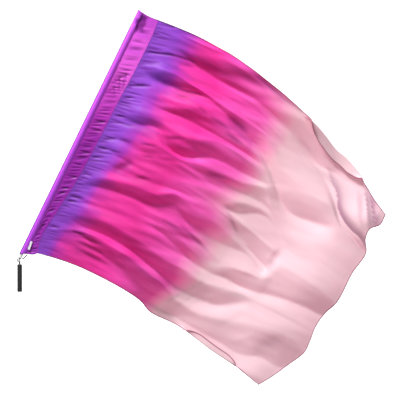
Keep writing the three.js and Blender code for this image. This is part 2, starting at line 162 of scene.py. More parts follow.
# Main folds from the top hem down: each falls away between its crest and its valley
folds = {
    "topRoll": fold(
        (60, 812, 786, 2), (150, 822, 788, 8), (230, 824, 766, 34), (330, 820, 754, 40),
        (430, 802, 752, 26), (520, 768, 732, 14), (600, 760, 704, 16), (700, 712, 656, 20),
        (780, 690, 652, 12), (860, 664, 640, 8), (950, 606, 600, 0),
    ),
    "cornerTuck": fold(
        (60, 742, 738, 0), (700, 648, 642, 0), (760, 638, 612, 8), (800, 606, 572, 12),
        (840, 562, 524, 16), (890, 544, 500, 22), (930, 524, 480, 22), (960, 506, 466, 18),
    ),
    "highFold": fold(
        (60, 690, 676, 2), (130, 704, 670, 16), (180, 716, 676, 22), (250, 720, 692, 20),
        (330, 704, 684, 10), (430, 692, 648, 14), (520, 664, 616, 16), (600, 606, 552, 17),
        (650, 584, 502, 25), (700, 568, 482, 35), (760, 562, 486, 36), (800, 556, 492, 26),
        (845, 520, 505, 0),
    ),
    "middleFold": fold(
        (60, 606, 598, 1), (180, 606, 594, 4), (250, 628, 602, 20), (310, 646, 602, 26),
        (400, 634, 594, 14), (470, 612, 588, 10), (540, 590, 574, 3), (600, 541, 537, 0),
        (650, 470, 466, 0), (700, 428, 424, 0), (760, 412, 408, 0), (900, 440, 436, 0),
    ),
    "waistFold": fold(
        (60, 526, 514, 4), (150, 550, 524, 14), (210, 560, 538, 12), (260, 550, 498, 22),
        (320, 558, 492, 33), (400, 584, 530, 19), (500, 572, 532, 17), (570, 546, 528, 4),
        (600, 532, 528, 0), (650, 463, 459, 0), (700, 421, 417, 0), (760, 405, 401, 0), (900, 433, 429, 0),
    ),
    "beltFold": fold(
        (60, 470, 462, 0), (180, 470, 450, 6), (240, 490, 456, 16), (320, 486, 472, 6),
        (420, 504, 474, 14), (510, 500, 478, 12), (600, 514, 472, 13), (650, 456, 448, 2),
        (700, 414, 410, 0), (760, 398, 394, 0), (950, 426, 422, 0),
    ),
    "wedge": fold(
        (60, 440, 430, 6), (150, 412, 404, 2), (480, 416, 406, 0), (540, 438, 414, 10),
        (600, 454, 438, 6), (650, 440, 434, 1), (700, 406, 402, 0), (760, 390, 386, 0), (950, 416, 412, 0),
    ),
    "triangle": fold(
        (60, 382, 374, 1), (150, 396, 370, 5), (220, 384, 376, 1), (500, 398, 392, 0),
        (560, 388, 366, 8), (620, 370, 326, 17), (690, 358, 300, 15), (705, 355, 300, 10),
        (728, 394, 390, 0), (800, 398, 394, 0), (950, 384, 380, 0),
    ),
    "longFold": fold(
        (60, 290, 272, 12), (130, 326, 296, 15), (220, 346, 312, 19), (290, 352, 314, 20),
        (350, 382, 348, 22), (420, 362, 316, 19), (500, 354, 306, 20), (580, 330, 308, 7),
        (640, 312, 305, 0), (705, 288, 284, 0), (728, 386, 382, 0), (950, 374, 370, 0),
    ),
    "hookFold": fold(
        (60, 240, 226, 8), (160, 246, 240, 0), (320, 266, 256, 2), (400, 268, 240, 16),
        (460, 250, 222, 15), (520, 232, 208, 4), (560, 232, 206, 3), (600, 250, 214, 15), (650, 262, 207, 24),
        (705, 264, 214, 15), (735, 316, 222, 24), (800, 320, 236, 28), (900, 306, 242, 28),
        (950, 290, 244, 20),
    ),
    "lowFold": fold(
        (60, 198, 170, 8), (130, 206, 162, 17), (220, 206, 166, 21), (310, 202, 159, 23),
        (400, 184, 140, 26), (480, 178, 124, 24), (550, 172, 120, 20), (610, 180, 124, 17),
        (660, 192, 152, 10), (710, 188, 184, 0), (800, 188, 184, 0), (950, 184, 180, 0),
    ),
    "hemFold": fold(
        (60, 120, 108, 4), (140, 146, 138, 4), (220, 146, 110, 16), (300, 142, 98, 23),
        (360, 128, 76, 28), (420, 112, 46, 32), (480, 90, 40, 20), (560, 76, 30, 14),
        (660, 96, 26, 20), (740, 122, 20, 28), (810, 134, 40, 34), (870, 134, 36, 24), (920, 116, 60, 10),
    ),
}
billows = table(
    "fly up flyReach upReach out",
    (330, 450, 300, 480, 34), (640, 300, 230, 330, -30), (870, 320, 210, 290, 43),
    (740, 700, 230, 170, -44), (930, 580, 90, 90, 30), (470, 20, 150, 140, -40), (800, -30, 150, 130, 30),
)

# Small creases: from and to, half width, and depth, below zero for a ridge
creases = table(
    "fly up flyTo upTo width depth",
    (66, 734, 160, 764, 4.6, 2.6), (120, 756, 232, 776, 4.6, 2.2), (70, 702, 130, 724, 5, 1.4),
    (175, 745, 232, 760, 6, 1.2), (68, 618, 136, 648, 5, 2.8), (68, 575, 104, 592, 4, 1.6),
    (70, 560, 104, 568, 4, 1.4), (70, 515, 104, 526, 4, 1.6), (100, 500, 142, 511, 5, 1.2),
    (68, 430, 112, 456, 5, 1.8), (108, 454, 155, 461, 5, 1.2), (64, 402, 102, 411, 4, 2.2),
    (98, 410, 144, 419, 4, 1.2), (60, 365, 102, 386, 5, 1.6), (140, 360, 188, 412, 12, 3.0),
    (210, 370, 258, 386, 6, 1.4), (58, 310, 94, 316, 5, 1.4), (50, 230, 102, 241, 5, 2.4),
    (50, 212, 84, 223, 4, 1.8), (38, 118, 74, 129, 4, 1.6), (106, 134, 154, 143, 4, 1.8),
    (130, 152, 250, 163, 6, -2.0), (240, 163, 350, 143, 6, -2.2), (340, 145, 440, 124, 6, -2.2),
    (300, 102, 360, 76, 8, -2.4), (350, 80, 432, 37, 8, -3.0), (200, 681, 280, 694, 7, -1.8),
    (270, 693, 350, 680, 7, -1.6), (210, 447, 300, 474, 8, -2.4), (290, 473, 430, 450, 8, -2.0),
    (400, 590, 550, 565, 8, -1.8), (140, 830, 300, 834, 5, -2.4), (465, 60, 500, 112, 4, 0.7),
    (498, 108, 556, 192, 4, 0.7), (520, 400, 596, 334, 6, 2.0), (520, 402, 700, 356, 6, -1.6),
    (470, 70, 520, 150, 4, -1.0), (500, 60, 560, 160, 4, 0.5), (530, 70, 590, 180, 5, 0.5),
    (860, 640, 905, 560, 7, 2.2), (880, 630, 925, 540, 6, -2.2), (840, 650, 890, 570, 8, -1.6),
    (905, 640, 935, 560, 6, 2.0), (880, 655, 925, 600, 7, 3.0), (710, 352, 712, 282, 6, 1.2),
    (300, 746, 460, 738, 6, -1.4), (420, 740, 560, 700, 7, -1.6), (320, 726, 440, 724, 5, -1.3),
    (430, 724, 580, 676, 6, -1.5), (300, 712, 420, 708, 5, -1.0), (440, 706, 560, 662, 6, -1.2),
    (200, 668, 290, 692, 6, 1.6), (210, 650, 262, 668, 6, 1.3), (250, 650, 300, 668, 6, -1.4),
    (230, 640, 300, 650, 5, -1.0), (290, 655, 330, 640, 5, 1.2), (340, 640, 420, 630, 7, 1.4),
    (400, 618, 470, 606, 7, 1.3), (385, 665, 470, 650, 10, 2.2), (390, 645, 520, 620, 8, 1.2),
    (130, 133, 212, 137, 4, 1.4), (130, 113, 232, 113, 5, 1.6), (136, 92, 262, 88, 5, 1.6),
    (150, 103, 240, 101, 4, -1.0), (140, 122, 220, 124, 4, -1.0), (160, 74, 300, 70, 6, -1.2),
    (180, 470, 232, 486, 5, 1.6), (200, 438, 240, 452, 5, 1.4), (240, 520, 300, 545, 6, 1.4),
    (380, 512, 470, 520, 7, -1.4), (400, 480, 470, 492, 6, 1.4), (420, 466, 520, 468, 6, -1.2),
    (360, 415, 480, 404, 7, -1.2), (470, 398, 560, 380, 5, -1.4), (440, 300, 560, 250, 7, -1.4),
    (400, 300, 520, 262, 6, 1.2), (420, 235, 520, 190, 6, -1.2), (340, 290, 420, 284, 7, 1.2),
    (520, 430, 580, 448, 8, 1.3), (500, 410, 540, 424, 7, 1.2), (560, 130, 610, 150, 8, -0.8),
    (640, 60, 700, 140, 9, 0.8), (700, 40, 760, 100, 9, -1.0), (770, 50, 850, 130, 22, 1.6),
    (600, 250, 690, 262, 6, -1.2), (600, 712, 700, 668, 8, 1.0), (620, 660, 740, 625, 10, -0.8),
    (350, 834, 620, 768, 7, 1.8), (200, 788, 380, 778, 15, 1.0), (280, 814, 470, 796, 13, 1.0),
)
cloth = {
    "seamEase": 80, "creaseEase": 12, "fall": 1.35, "rise": 1.3, "leastFold": 3, "softness": 3.0,
    "flatAbove": 862, "flatBelow": 62, "creasing": 1.6,
}
puckers = {
    "seed": 11, "first": 40.0, "last": 832, "pitch": 12, "jitter": 5, "length": (24, 80),
    "slope": (0.10, 0.42), "width": (2.4, 4.2), "depth": (0.9, 2.3), "calmBelow": 150, "calm": 0.5,
}
ripples = {
    "seed": 5, "count": 26, "wave": (26, 74), "lean": 0.24, "height": 0.012, "calm": 0.75, "calmFrom": 430,
    "calmOver": 200,
}


def foldOut(fly, up):
    ups, outs = [np.full(fly.shape, float(cloth["flatAbove"]))], [np.zeros(fly.shape)]
    for sections in folds.values():
        crest, valley, drop = (readTable(sections, "fly", name, fly) for name in ("crest", "valley", "drop"))
        top = np.minimum(crest, ups[-1] - cloth["leastFold"])
        half = np.maximum(drop, 0) / 2
        ups += [top, np.minimum(valley, top - cloth["leastFold"])]
        outs += [half, -half]
    ups.append(ups[-1] - cloth["flatBelow"])
    outs.append(np.zeros(fly.shape))
    out = np.zeros(fly.shape)
    for i in range(1, len(ups)):
        t = np.clip((ups[i - 1] - up) / (ups[i - 1] - ups[i]), 0, 1)
        ease = t ** cloth["fall"] if i % 2 == 0 else 1 - (1 - t) ** cloth["rise"]
        here = (up <= ups[i - 1]) & (up > ups[i])
        out = np.where(here, outs[i - 1] + (outs[i] - outs[i - 1]) * ease, out)
    return out


def softFoldOut(fly, up):
    reach = (-cloth["softness"], 0, cloth["softness"])
    return sum(foldOut(fly + a, up + b) for a in reach for b in reach) / 9


def billowOut(fly, up):
    out = np.zeros(fly.shape)
    for fly0, up0, flyReach, upReach, height in zip(*billows.values()):
        across, along = (fly - fly0) / flyReach, (up - up0) / upReach
        out += height * np.exp(-2 * (across**2 + along**2))
    return out


def creaseOut(fly, up, rows):  # soft troughs, fading towards both ends
    out = np.zeros(fly.shape)
    for fly0, up0, fly1, up1, width, depth in zip(*rows.values()):
        length = math.hypot(fly1 - fly0, up1 - up0)
        along = ((fly - fly0) * (fly1 - fly0) + (up - up0) * (up1 - up0)) / length**2
        across = ((up - up0) * (fly1 - fly0) - (fly - fly0) * (up1 - up0)) / length
        fade = np.sin(np.pi * np.clip(along, 0, 1)) ** 0.8
        out -= depth * fade * np.exp(-((across / width) ** 2))
    return out


def tuck(slope, edge, depth, doubled, *line):
    return {"slope": slope, "edge": edge, "depth": depth, "doubled": doubled, "line": line}


# Tucks: a soft slope down to a line and a sharp rise behind it. The slope lies to the left of the
# line's direction. The last share darkens the slope, partly for the second layer of silk and partly as
# painted shade in the fold.
tucks = [
    tuck(16, 5, 4, 0.7, (745, 649), (768, 623), (789, 609), (808, 584), (819, 561), (838, 543), (859, 529),
         (889, 516), (913, 511), (936, 498), (954, 483)),
    tuck(14, 7, 2.6, 0.6, (866, 652), (886, 622), (904, 588), (926, 552)),
    tuck(14, 7, 2.6, 0.8, (884, 644), (906, 618), (924, 590), (934, 562)),
    tuck(12, 7, 2, 0.3, (838, 640), (862, 604), (884, 570), (908, 536)),
    tuck(16, 8, 3.5, 0.7, (918, 600), (938, 578), (944, 552)),
]


def alongLine(fly, up, points):  # distance to the left of the line, and the share along it
    points = np.array(points, float)
    steps = np.hypot(*np.diff(points, axis=0).T)
    nearest, share = np.full(fly.shape, 1e9), np.zeros(fly.shape)
    done = 0.0
    for start, end, length in zip(points, points[1:], steps):
        run = (end - start) / length
        along = (fly - start[0]) * run[0] + (up - start[1]) * run[1]
        left = (up - start[1]) * run[0] - (fly - start[0]) * run[1]
        held = np.clip(along, 0, length)
        far = np.hypot(left, along - held) * np.where(left < 0, -1, 1)
        closer = np.abs(far) < np.abs(nearest)
        nearest = np.where(closer, far, nearest)
        share = np.where(closer, (done + held) / steps.sum(), share)
        done += length
    return nearest, share


def tuckShape(fly, up, one):
    left, share = alongLine(fly, up, one["line"])
    reach = np.where(left > 0, one["slope"], one["edge"])
    return np.exp(-((left / reach) ** 2)) * np.sin(np.pi * np.clip(0.06 + share * 0.88, 0, 1)) ** 0.5, left


def tuckOut(fly, up):
    return -sum(tuckShape(fly, up, one)[0] * one["depth"] for one in tucks)


def troughShade(fly, up, rows, share):  # painted shade in the troughs where they gather the cloth, deeper with the trough
    troughs = {name: values[rows["depth"] > 0] for name, values in rows.items()}
    shown = {**troughs, "depth": share * np.minimum(1, troughs["depth"] / 2)}
    return np.clip(-creaseOut(fly, up, shown), 0, 0.85)


# Painted shade in the creases and puckers, less towards the pale silk; in the tucks, partly the second layer
# of silk and partly painted shade in the fold
def doubledAt(fly, up):
    doubled = np.maximum(troughShade(fly, up, creases, 0.8), troughShade(fly, up, puckerRows, 0.45))
    doubled *= 1 - 0.7 * smooth((fly - 420) / 160)
    for one in tucks:
        shape, left = tuckShape(fly, up, one)
        doubled = np.maximum(doubled, shape * one["doubled"] * smooth((left + 2) / 3))
    return doubled


def seamPuckers(settings):
    chance = np.random.default_rng(settings["seed"])
    rows = []
    up = settings["first"]
    while up < settings["last"]:
        start = float(seamAt(up)) - 4
        length = chance.uniform(*settings["length"])
        rise = length * chance.uniform(*settings["slope"])
        width, depth = chance.uniform(*settings["width"]), chance.uniform(*settings["depth"])
        depth *= settings["calm"] if up < settings["calmBelow"] else 1
        rows.append((start, up, start + length, up + rise, width, depth))
        up += settings["pitch"] + chance.uniform(-1, 1) * settings["jitter"]
    return table("fly up flyTo upTo width depth", *rows)


def rippleOut(fly, up, settings):
    chance = np.random.default_rng(settings["seed"])
    out = np.zeros(fly.shape)
    for _ in range(settings["count"]):
        wave = chance.uniform(*settings["wave"])
        lean = chance.uniform(-1, 1) * settings["lean"]
        phase = chance.uniform(0, 2 * math.pi, 2)
        swell = 0.5 + 0.5 * np.sin(fly / (wave * 2.3) + up / 170 + phase[1])
        out += settings["height"] * wave * swell * np.sin(2 * np.pi * (up - lean * fly) / wave + phase[0])
    return out


puckerRows = seamPuckers(puckers)


def clothOut(fly, up):
    fromSeam = smooth((fly - seamAt(up)) / cloth["seamEase"])
    broad = fromSeam * (softFoldOut(fly, up) + billowOut(fly, up))
    nearSeam = smooth((fly - seamAt(up)) / cloth["creaseEase"])
    small = cloth["creasing"] * creaseOut(fly, up, creases) + creaseOut(fly, up, puckerRows)
    small += tuckOut(fly, up)
    calm = 1 - ripples["calm"] * smooth((fly - ripples["calmFrom"]) / ripples["calmOver"])
    return broad + nearSeam * small + fromSeam * calm * rippleOut(fly, up, ripples)


# Curls, where a hem turns over to the front
topCurl = {"from": 590, "to": 885, "length": 42, "radius": 4.0}
bottomCurl = {"from": 535, "to": 778, "length": 27, "radius": 3.5}
curling = {"flat": 7, "least": 1.6, "corner": 0.08, "turn": math.radians(172), "bendRows": 9, "flatRows": 7}


def curlAt(curl, fly, u):
    t = np.clip((fly - curl["from"]) / (curl["to"] - curl["from"]), 0, 1)
    amount = np.minimum(1, 1.25 * np.sin(np.pi * t))
    ends = smooth(u / curling["corner"]) * (1 - smooth((u - 1 + curling["corner"]) / curling["corner"]))
    edge = curling["least"] + (curling["flat"] - curling["least"]) * ends
    return edge + (curl["length"] - edge) * amount, curling["turn"] * smooth(amount / 0.8)


def alongCurl(radius, turn, distance):
    bend = radius * turn
    angle = np.minimum(distance / radius, turn)
    rest = np.maximum(distance - bend, 0)
    beyond = radius * np.sin(angle) + rest * np.cos(turn)
    return beyond, radius * (1 - np.cos(angle)) + rest * np.sin(turn)


def curlStart(curve, curl, inward, u):
    point = curve(u)
    step = 1e-4
    tangent = unit(curve(np.minimum(u + step, 1)) - curve(np.maximum(u - step, 0)))
    length, turn = curlAt(curl, point[:, 0], u)
    reach = np.where(turn > np.pi / 2, curl["radius"], alongCurl(curl["radius"], turn, length)[0])
    away = np.stack([tangent[:, 1], -tangent[:, 0]], axis=-1) * inward
    return point + away * (reach - curling["least"])[:, None]


def patch(u, v):  # u from seam to fly, v from top to bottom, as one grid
    top = curlStart(topCurve, topCurl, 1, u)[:, None]
    bottom = curlStart(bottomCurve, bottomCurl, -1, u)[:, None]
    up = seamHead + (seamFoot - seamHead) * v
    side = np.stack([seamAt(up) + flag["gap"], up], axis=-1)[None]
    far = flyCurve(v)[None]
    u, v = u[:, None, None], v[None, :, None]
    head, foot, high, low = side[:, :1], side[:, -1:], far[:, :1], far[:, -1:]
    corners = head * (1 - u) * (1 - v) + high * u * (1 - v) + foot * (1 - u) * v + low * u * v
    return top * (1 - v) + bottom * v + side * (1 - u) + far * u - corners


panel = {
    "flyCells": 112, "hoistCells": 368, "spread": 1.2, "hemColumns": (0.0042, 0.0022, 0), "edgeRow": 1e-3,
    "allowance": 5, "thickness": 0.36, "hem": 3.6, "hemThickness": 1.5, "inner": 50.0, "flat": (0.985, 0.842),
}


def turnOver(curve, curl, u, edge, inside):  # the rows of one hem beyond the grid, and how far out they lie
    length, turn = curlAt(curl, curve(u)[:, 0], u)
    bend = np.minimum(curl["radius"] * turn, length * 0.6) + 1
    shares = np.arange(1, curling["bendRows"] + 1) / curling["bendRows"]
    rest = np.arange(1, curling["flatRows"] + 1) / curling["flatRows"]
    rows = [bend[:, None] * shares, bend[:, None] + (length - bend)[:, None] * rest]
    distance = np.concatenate(rows, axis=1)
    outward = unit(edge - inside)
    along = unit(np.gradient(edge, axis=0))
    front = unit(np.cross(along, outward))
    front *= np.where(front @ towardsViewer < 0, -1, 1)[:, None]
    beyond, ahead = alongCurl(curl["radius"], turn[:, None], distance)
    step = outward[:, None] * beyond[..., None] + front[:, None] * ahead[..., None]
    return edge[:, None] + step * mm, distance, length[:, None] - distance


def panelGrid(settings):
    u = np.linspace(0, 1, settings["flyCells"] + 1) ** settings["spread"]
    u = np.concatenate([u[:-1], 1 - np.array(settings["hemColumns"])])
    v = np.linspace(0, 1, settings["hoistCells"] + 1)
    edgeRows = np.array([0, settings["edgeRow"]])
    flat = patch(u, np.concatenate([edgeRows, v[1:-1], 1 - edgeRows[::-1]]))
    fly, up = flat[..., 0], flat[..., 1]
    place = onFlag(fly, up, clothOut(fly, up))
    top, above, topEdge = turnOver(topCurve, topCurl, u, place[:, 0], place[:, 1])
    bottom, below, bottomEdge = turnOver(bottomCurve, bottomCurl, u, place[:, -1], place[:, -2])
    keep = np.ones(place.shape[1], bool)
    keep[[1, -2]] = False
    place = np.concatenate([top[:, ::-1], place[:, keep], bottom], axis=1)
    inner = np.full(fly.shape, settings["inner"])[:, keep]
    edge = np.concatenate([topEdge[:, ::-1], inner, bottomEdge], axis=1)
    edge = np.minimum(edge, (1 - u[:, None]) * topCurve.length)
    fly = np.concatenate([fly[:, :1] + 0 * above, fly[:, keep], fly[:, -1:] + 0 * below], axis=1)
    up = np.concatenate([(up[:, :1] + above)[:, ::-1], up[:, keep], up[:, -1:] - below], axis=1)
    # the seam allowance, held between the sleeve's two layers
    held = place[:1] - alongFly * settings["allowance"] * mm
    place = np.concatenate([held, place])
    fly = np.concatenate([fly[:1] - settings["allowance"], fly])
    return place, fly, np.concatenate([up[:1], up]), np.concatenate([edge[:1], edge])


# Meshes
def makeMesh(name, vertices, faces, uv=None, attributes=None):
    mesh = bpy.data.meshes.new(name)
    mesh.from_pydata(np.asarray(vertices, float).tolist(), [], [[int(i) for i in face] for face in faces])
    mesh.polygons.foreach_set("use_smooth", [True] * len(mesh.polygons))
    if uv is not None:
        layer = mesh.uv_layers.new(name="cloth")
        corners = np.zeros(len(mesh.loops), int)
        mesh.loops.foreach_get("vertex_index", corners)
        layer.data.foreach_set("uv", np.asarray(uv, float)[corners].ravel())
    for key, values in (attributes or {}).items():
        attribute = mesh.attributes.new(key, "FLOAT", "POINT")
        attribute.data.foreach_set("value", np.asarray(values, np.float32).ravel())
    mesh.update()
    piece = bpy.data.objects.new(name, mesh)
    bpy.context.scene.collection.objects.link(piece)
    return piece


def gridFaces(wide, tall):
    i, j = np.arange(wide - 1)[:, None], np.arange(tall - 1)[None, :]
    a, b = i * tall + j, (i + 1) * tall + j
    return np.stack([a, b, b + 1, a + 1], axis=-1).reshape(-1, 4)


def ringFaces(rings, sides):  # rings of points, each turning the same way round the line they follow
    a, b = (np.arange(rings - 1)[:, None] * sides + (np.arange(sides) + k) % sides for k in (0, 1))
    return np.stack([a, b, b + sides, a + sides], axis=-1).reshape(-1, 4)


def closedFaces(rings, sides):  # with fans to two more points, at the foot and at the head
    low, high, last = rings * sides, rings * sides + 1, (rings - 1) * sides
    pairs = [(i, (i + 1) % sides) for i in range(sides)]
    fans = [(low, b, a) for a, b in pairs] + [(high, last + a, last + b) for a, b in pairs]
    return [*ringFaces(rings, sides), *fans]


def applyModifiers(piece):
    evaluated = piece.evaluated_get(bpy.context.evaluated_depsgraph_get())
    mesh = bpy.data.meshes.new_from_object(evaluated)
    piece.modifiers.clear()
    old, name = piece.data, piece.data.name
    piece.data = mesh
    bpy.data.meshes.remove(old)
    mesh.name = name


def thicken(piece, thickness, weights=None, factor=1.0):
    solidify = piece.modifiers.new("thickness", "SOLIDIFY")
    solidify.thickness = thickness * mm
    solidify.offset = 0
    solidify.use_even_offset = False
    if weights is not None:
        group = piece.vertex_groups.new(name="thick")
        for level in np.unique(weights):
            group.add(np.flatnonzero(weights == level).tolist(), float(level), "REPLACE")
        solidify.vertex_group = "thick"
        solidify.thickness_vertex_group = factor
    applyModifiers(piece)


def finishPiece(piece, material, slotName, *nodes):
    piece.data.materials.clear()
    piece.data.materials.append(material)
    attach(piece, body)
    if nodes:
        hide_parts(*nodes)


# Colours and node helpers
def colour(red, green, blue):
    def linear(value):
        value /= 255
        return value / 12.92 if value <= 0.04045 else ((value + 0.055) / 1.055) ** 2.4

    return (linear(red), linear(green), linear(blue), 1.0)


class Nodes:
    def __init__(self, tree):
        self.tree = tree
        tree.nodes.clear()

    def feed(self, slot, value):  # a socket is linked, and anything else is set on the slot
        if isinstance(value, bpy.types.NodeSocket):
            self.tree.links.new(value, slot)
        else:
            slot.default_value = value

    def add(self, kind, inputs=None, **settings):
        node = self.tree.nodes.new(kind)
        for key, value in settings.items():
            setattr(node, key, value)
        for key, value in (inputs or {}).items():
            self.feed(node.inputs[key], value)
        return node

    def first(self, kind, inputs=None, **settings):
        return self.add(kind, inputs, **settings).outputs[0]

    def math(self, operation, first, second=0.0, third=0.0):
        return self.first("ShaderNodeMath", {0: first, 1: second, 2: third}, operation=operation)

    def mix(self, factor, first, second, blend="MIX"):
        inputs = {0: factor, 6: first, 7: second}
        return self.add("ShaderNodeMix", inputs, data_type="RGBA", blend_type=blend).outputs[2]

    def darken(self, share, shade, by):
        return self.mix(share, shade, by, "MULTIPLY")

    def ramp(self, factor, stops):
        node = self.add("ShaderNodeValToRGB", {"Fac": factor})
        elements = node.color_ramp.elements
        while len(elements) < len(stops):
            elements.new(0.5)
        for element, (place, shade) in zip(elements, stops):
            element.position = place
            element.color = shade
        return node.outputs[0]

    def spread(self, value, fromMin, fromMax, toMin=0.0, toMax=1.0):
        return self.first("ShaderNodeMapRange", {"Value": value, "From Min": fromMin, "From Max": fromMax,
                                                 "To Min": toMin, "To Max": toMax})

    def attribute(self, name):
        return self.add("ShaderNodeAttribute", attribute_name=name).outputs["Fac"]

    def bump(self, height, strength, distance):
        return self.first("ShaderNodeBump", {"Height": height, "Strength": strength, "Distance": distance})

    def drawnNoise(self, place, stretch, roughness, distortion):
        drawn = self.first("ShaderNodeVectorMath", {0: place, 1: stretch}, operation="MULTIPLY")
        return self.first("ShaderNodeTexNoise", {"Vector": drawn, "Scale": 1.0, "Detail": 4.0,
                                                 "Roughness": roughness, "Distortion": distortion})

    def show(self, surface):
        self.add("ShaderNodeOutputMaterial", {"Surface": surface})


def makeGroup(name, inputs, outputs):
    group = bpy.data.node_groups.new(name, "ShaderNodeTree")
    for key, (kind, value) in inputs.items():
        socket = group.interface.new_socket(key, in_out="INPUT", socket_type=kind)
        socket.default_value = value
    for key, kind in outputs.items():
        group.interface.new_socket(key, in_out="OUTPUT", socket_type=kind)
    nodes = Nodes(group)
    return group, nodes, nodes.add("NodeGroupInput").outputs, nodes.add("NodeGroupOutput").inputs


def makeSilkWeave():  # a plain weave with uneven yarns, and the crushed look of thin silk
    group, nodes, given, out = makeGroup(
        "silkWeave",
        {"Place": ("NodeSocketVector", (0, 0, 0)), "Yarn": ("NodeSocketFloat", 0.0007),
         "Crush": ("NodeSocketFloat", 0.5), "Threads": ("NodeSocketFloat", 0.02)},
        {"Height": "NodeSocketFloat"},
    )
    split = nodes.add("ShaderNodeSeparateXYZ", {0: given["Place"]}).outputs
    turns = nodes.math("DIVIDE", 2 * math.pi, given["Yarn"])
    warp = nodes.math("SINE", nodes.math("MULTIPLY", split[0], turns))
    weft = nodes.math("SINE", nodes.math("MULTIPLY", split[1], turns))
    threads = nodes.math("MULTIPLY", nodes.math("MULTIPLY", warp, weft), given["Threads"])
    crush = nodes.drawnNoise(given["Place"], (14, 60, 1), 0.6, 0.5)
    nodes.feed(out["Height"], nodes.math("MULTIPLY_ADD", crush, given["Crush"], threads))
    return group


def makeDyeBleed():  # dye that has run further along some yarns than along others
    group, nodes, given, out = makeGroup(
        "dyeBleed",
        {"Place": ("NodeSocketVector", (0, 0, 0)), "Dye": ("NodeSocketFloat", 0.0),
         "Reach": ("NodeSocketFloat", 0.2)},
        {"Dye": "NodeSocketFloat", "Patch": "NodeSocketFloat", "Streak": "NodeSocketFloat"},
    )
    streak = nodes.drawnNoise(given["Place"], (5, 34, 1), 0.55, 0.3)
    broad = nodes.first("ShaderNodeTexNoise", {"Vector": given["Place"], "Scale": 9.0, "Detail": 2.0})
    run = nodes.math("ADD", nodes.math("SUBTRACT", streak, 0.5), nodes.math("SUBTRACT", broad, 0.5))
    nodes.feed(out["Dye"], nodes.math("MULTIPLY_ADD", run, given["Reach"], given["Dye"]))
    nodes.feed(out["Patch"], broad)
    nodes.feed(out["Streak"], streak)
    return group


def makeFineGrain():  # the slight unevenness of moulded and drawn parts
    group, nodes, given, out = makeGroup(
        "fineGrain",
        {"Size": ("NodeSocketFloat", 0.001), "Roughness": ("NodeSocketFloat", 0.4),
         "Range": ("NodeSocketFloat", 0.1)},
        {"Height": "NodeSocketFloat", "Roughness": "NodeSocketFloat", "Wear": "NodeSocketFloat"},
    )
    place = nodes.add("ShaderNodeTexCoord").outputs["Object"]
    scale = nodes.math("DIVIDE", 1.0, given["Size"])
    fine = nodes.first("ShaderNodeTexNoise", {"Vector": place, "Scale": scale, "Detail": 3.0})
    wide = nodes.first("ShaderNodeTexNoise", {"Vector": place, "Scale": 160.0, "Detail": 2.0})
    swing = nodes.math("MULTIPLY_ADD", nodes.math("SUBTRACT", wide, 0.5), given["Range"], given["Roughness"])
    nodes.feed(out["Height"], fine)
    nodes.feed(out["Roughness"], swing)
    nodes.feed(out["Wear"], wide)
    return group


silkWeave, dyeBleed, fineGrain = makeSilkWeave(), makeDyeBleed(), makeFineGrain()


def newMaterial(name):
    material = bpy.data.materials.new(name)
    material.use_nodes = True
    return material, Nodes(material.node_tree)


silk = {"specular": 0.22, "sheen": 0.06, "sheenRoughness": 0.4, "bump": 0.35, "bumpDepth": 0.0012}


def silkSurface(nodes, shade, glow, height, through, roughness):  # glow colours the light through the silk
    bump = nodes.bump(height, silk["bump"], silk["bumpDepth"])
    face = nodes.first("ShaderNodeBsdfPrincipled", {
        "Base Color": shade, "Roughness": roughness, "Specular IOR Level": silk["specular"],
        "Sheen Weight": silk["sheen"], "Sheen Roughness": silk["sheenRoughness"], "Normal": bump})
    lit = nodes.first("ShaderNodeBsdfTranslucent", {"Color": glow, "Normal": bump})
    nodes.show(nodes.first("ShaderNodeMixShader", {0: through, 1: face, 2: lit}))


# Where each dye ends: violet, magenta, and the fly from which the cloth is pale
dyeBorders = table(
    "up violet magenta pale",
    (-40, 88, 396, 450), (20, 88, 400, 455), (60, 89, 415, 470), (100, 93, 435, 500), (150, 106, 455, 530),
    (200, 125, 440, 540), (250, 125, 450, 560), (300, 128, 440, 570), (350, 140, 480, 590),
    (400, 158, 430, 560), (450, 165, 446, 562), (500, 170, 482, 572), (550, 180, 488, 582),
    (600, 175, 486, 592), (650, 175, 484, 598), (700, 195, 480, 596), (750, 190, 466, 592),
    (800, 190, 450, 600), (860, 185, 440, 620),
)


def dyeAt(fly, up):  # 0 at the seam, 1, 2 and 3 at the borders, 4 at the far hem
    stops = [seamAt(up)] + [readTable(dyeBorders, "up", name, up) for name in ("violet", "magenta", "pale")]
    stops.append(np.full(fly.shape, 960.0))
    dye = np.zeros(fly.shape)
    for k, (a, b) in enumerate(zip(stops, stops[1:])):
        dye = np.where(fly > a, k + np.clip((fly - a) / (b - a), 0, 1), dye)
    return dye


panelColours = [
    (0.00, colour(150, 76, 206)), (0.14, colour(154, 72, 206)), (0.22, colour(184, 58, 192)),
    (0.29, colour(236, 56, 166)), (0.35, colour(242, 52, 164)), (0.41, colour(250, 78, 186)),
    (0.47, colour(253, 98, 200)), (0.52, colour(255, 124, 210)), (0.61, colour(255, 178, 224)),
    (0.72, colour(255, 229, 235)), (1.00, colour(255, 227, 233)),
]
panelGlow = [
    (0.00, colour(116, 30, 184)), (0.20, colour(132, 24, 168)), (0.28, colour(204, 12, 96)),
    (0.43, colour(222, 20, 116)), (0.51, colour(242, 60, 156)), (0.60, colour(252, 126, 184)),
    (0.74, colour(238, 172, 194)), (1.00, colour(238, 178, 200)),
]
panelFinish = {
    "roughness": 0.5, "bleed": 0.36, "hem": 0.9, "hemLayersAndShade": (0.36, 0.15, 0.25, 1),
    "mottle": 0.6, "mottled": [(0.3, (0.86, 0.84, 0.86, 1)), (0.65, (1, 1, 1, 1))],
    "streaks": (1.8, 2.5, 0.6, 0.06), "streaked": [(0.36, (0.78, 0.6, 0.7, 1)), (0.56, (1, 1, 1, 1))],
    "doubledShade": (0.44, 0.18, 0.36, 1), "doubledGlow": (0.35, 0.08, 0.22, 1),
    "through": (1.6, 2.8, 0.26, 0.36),
}


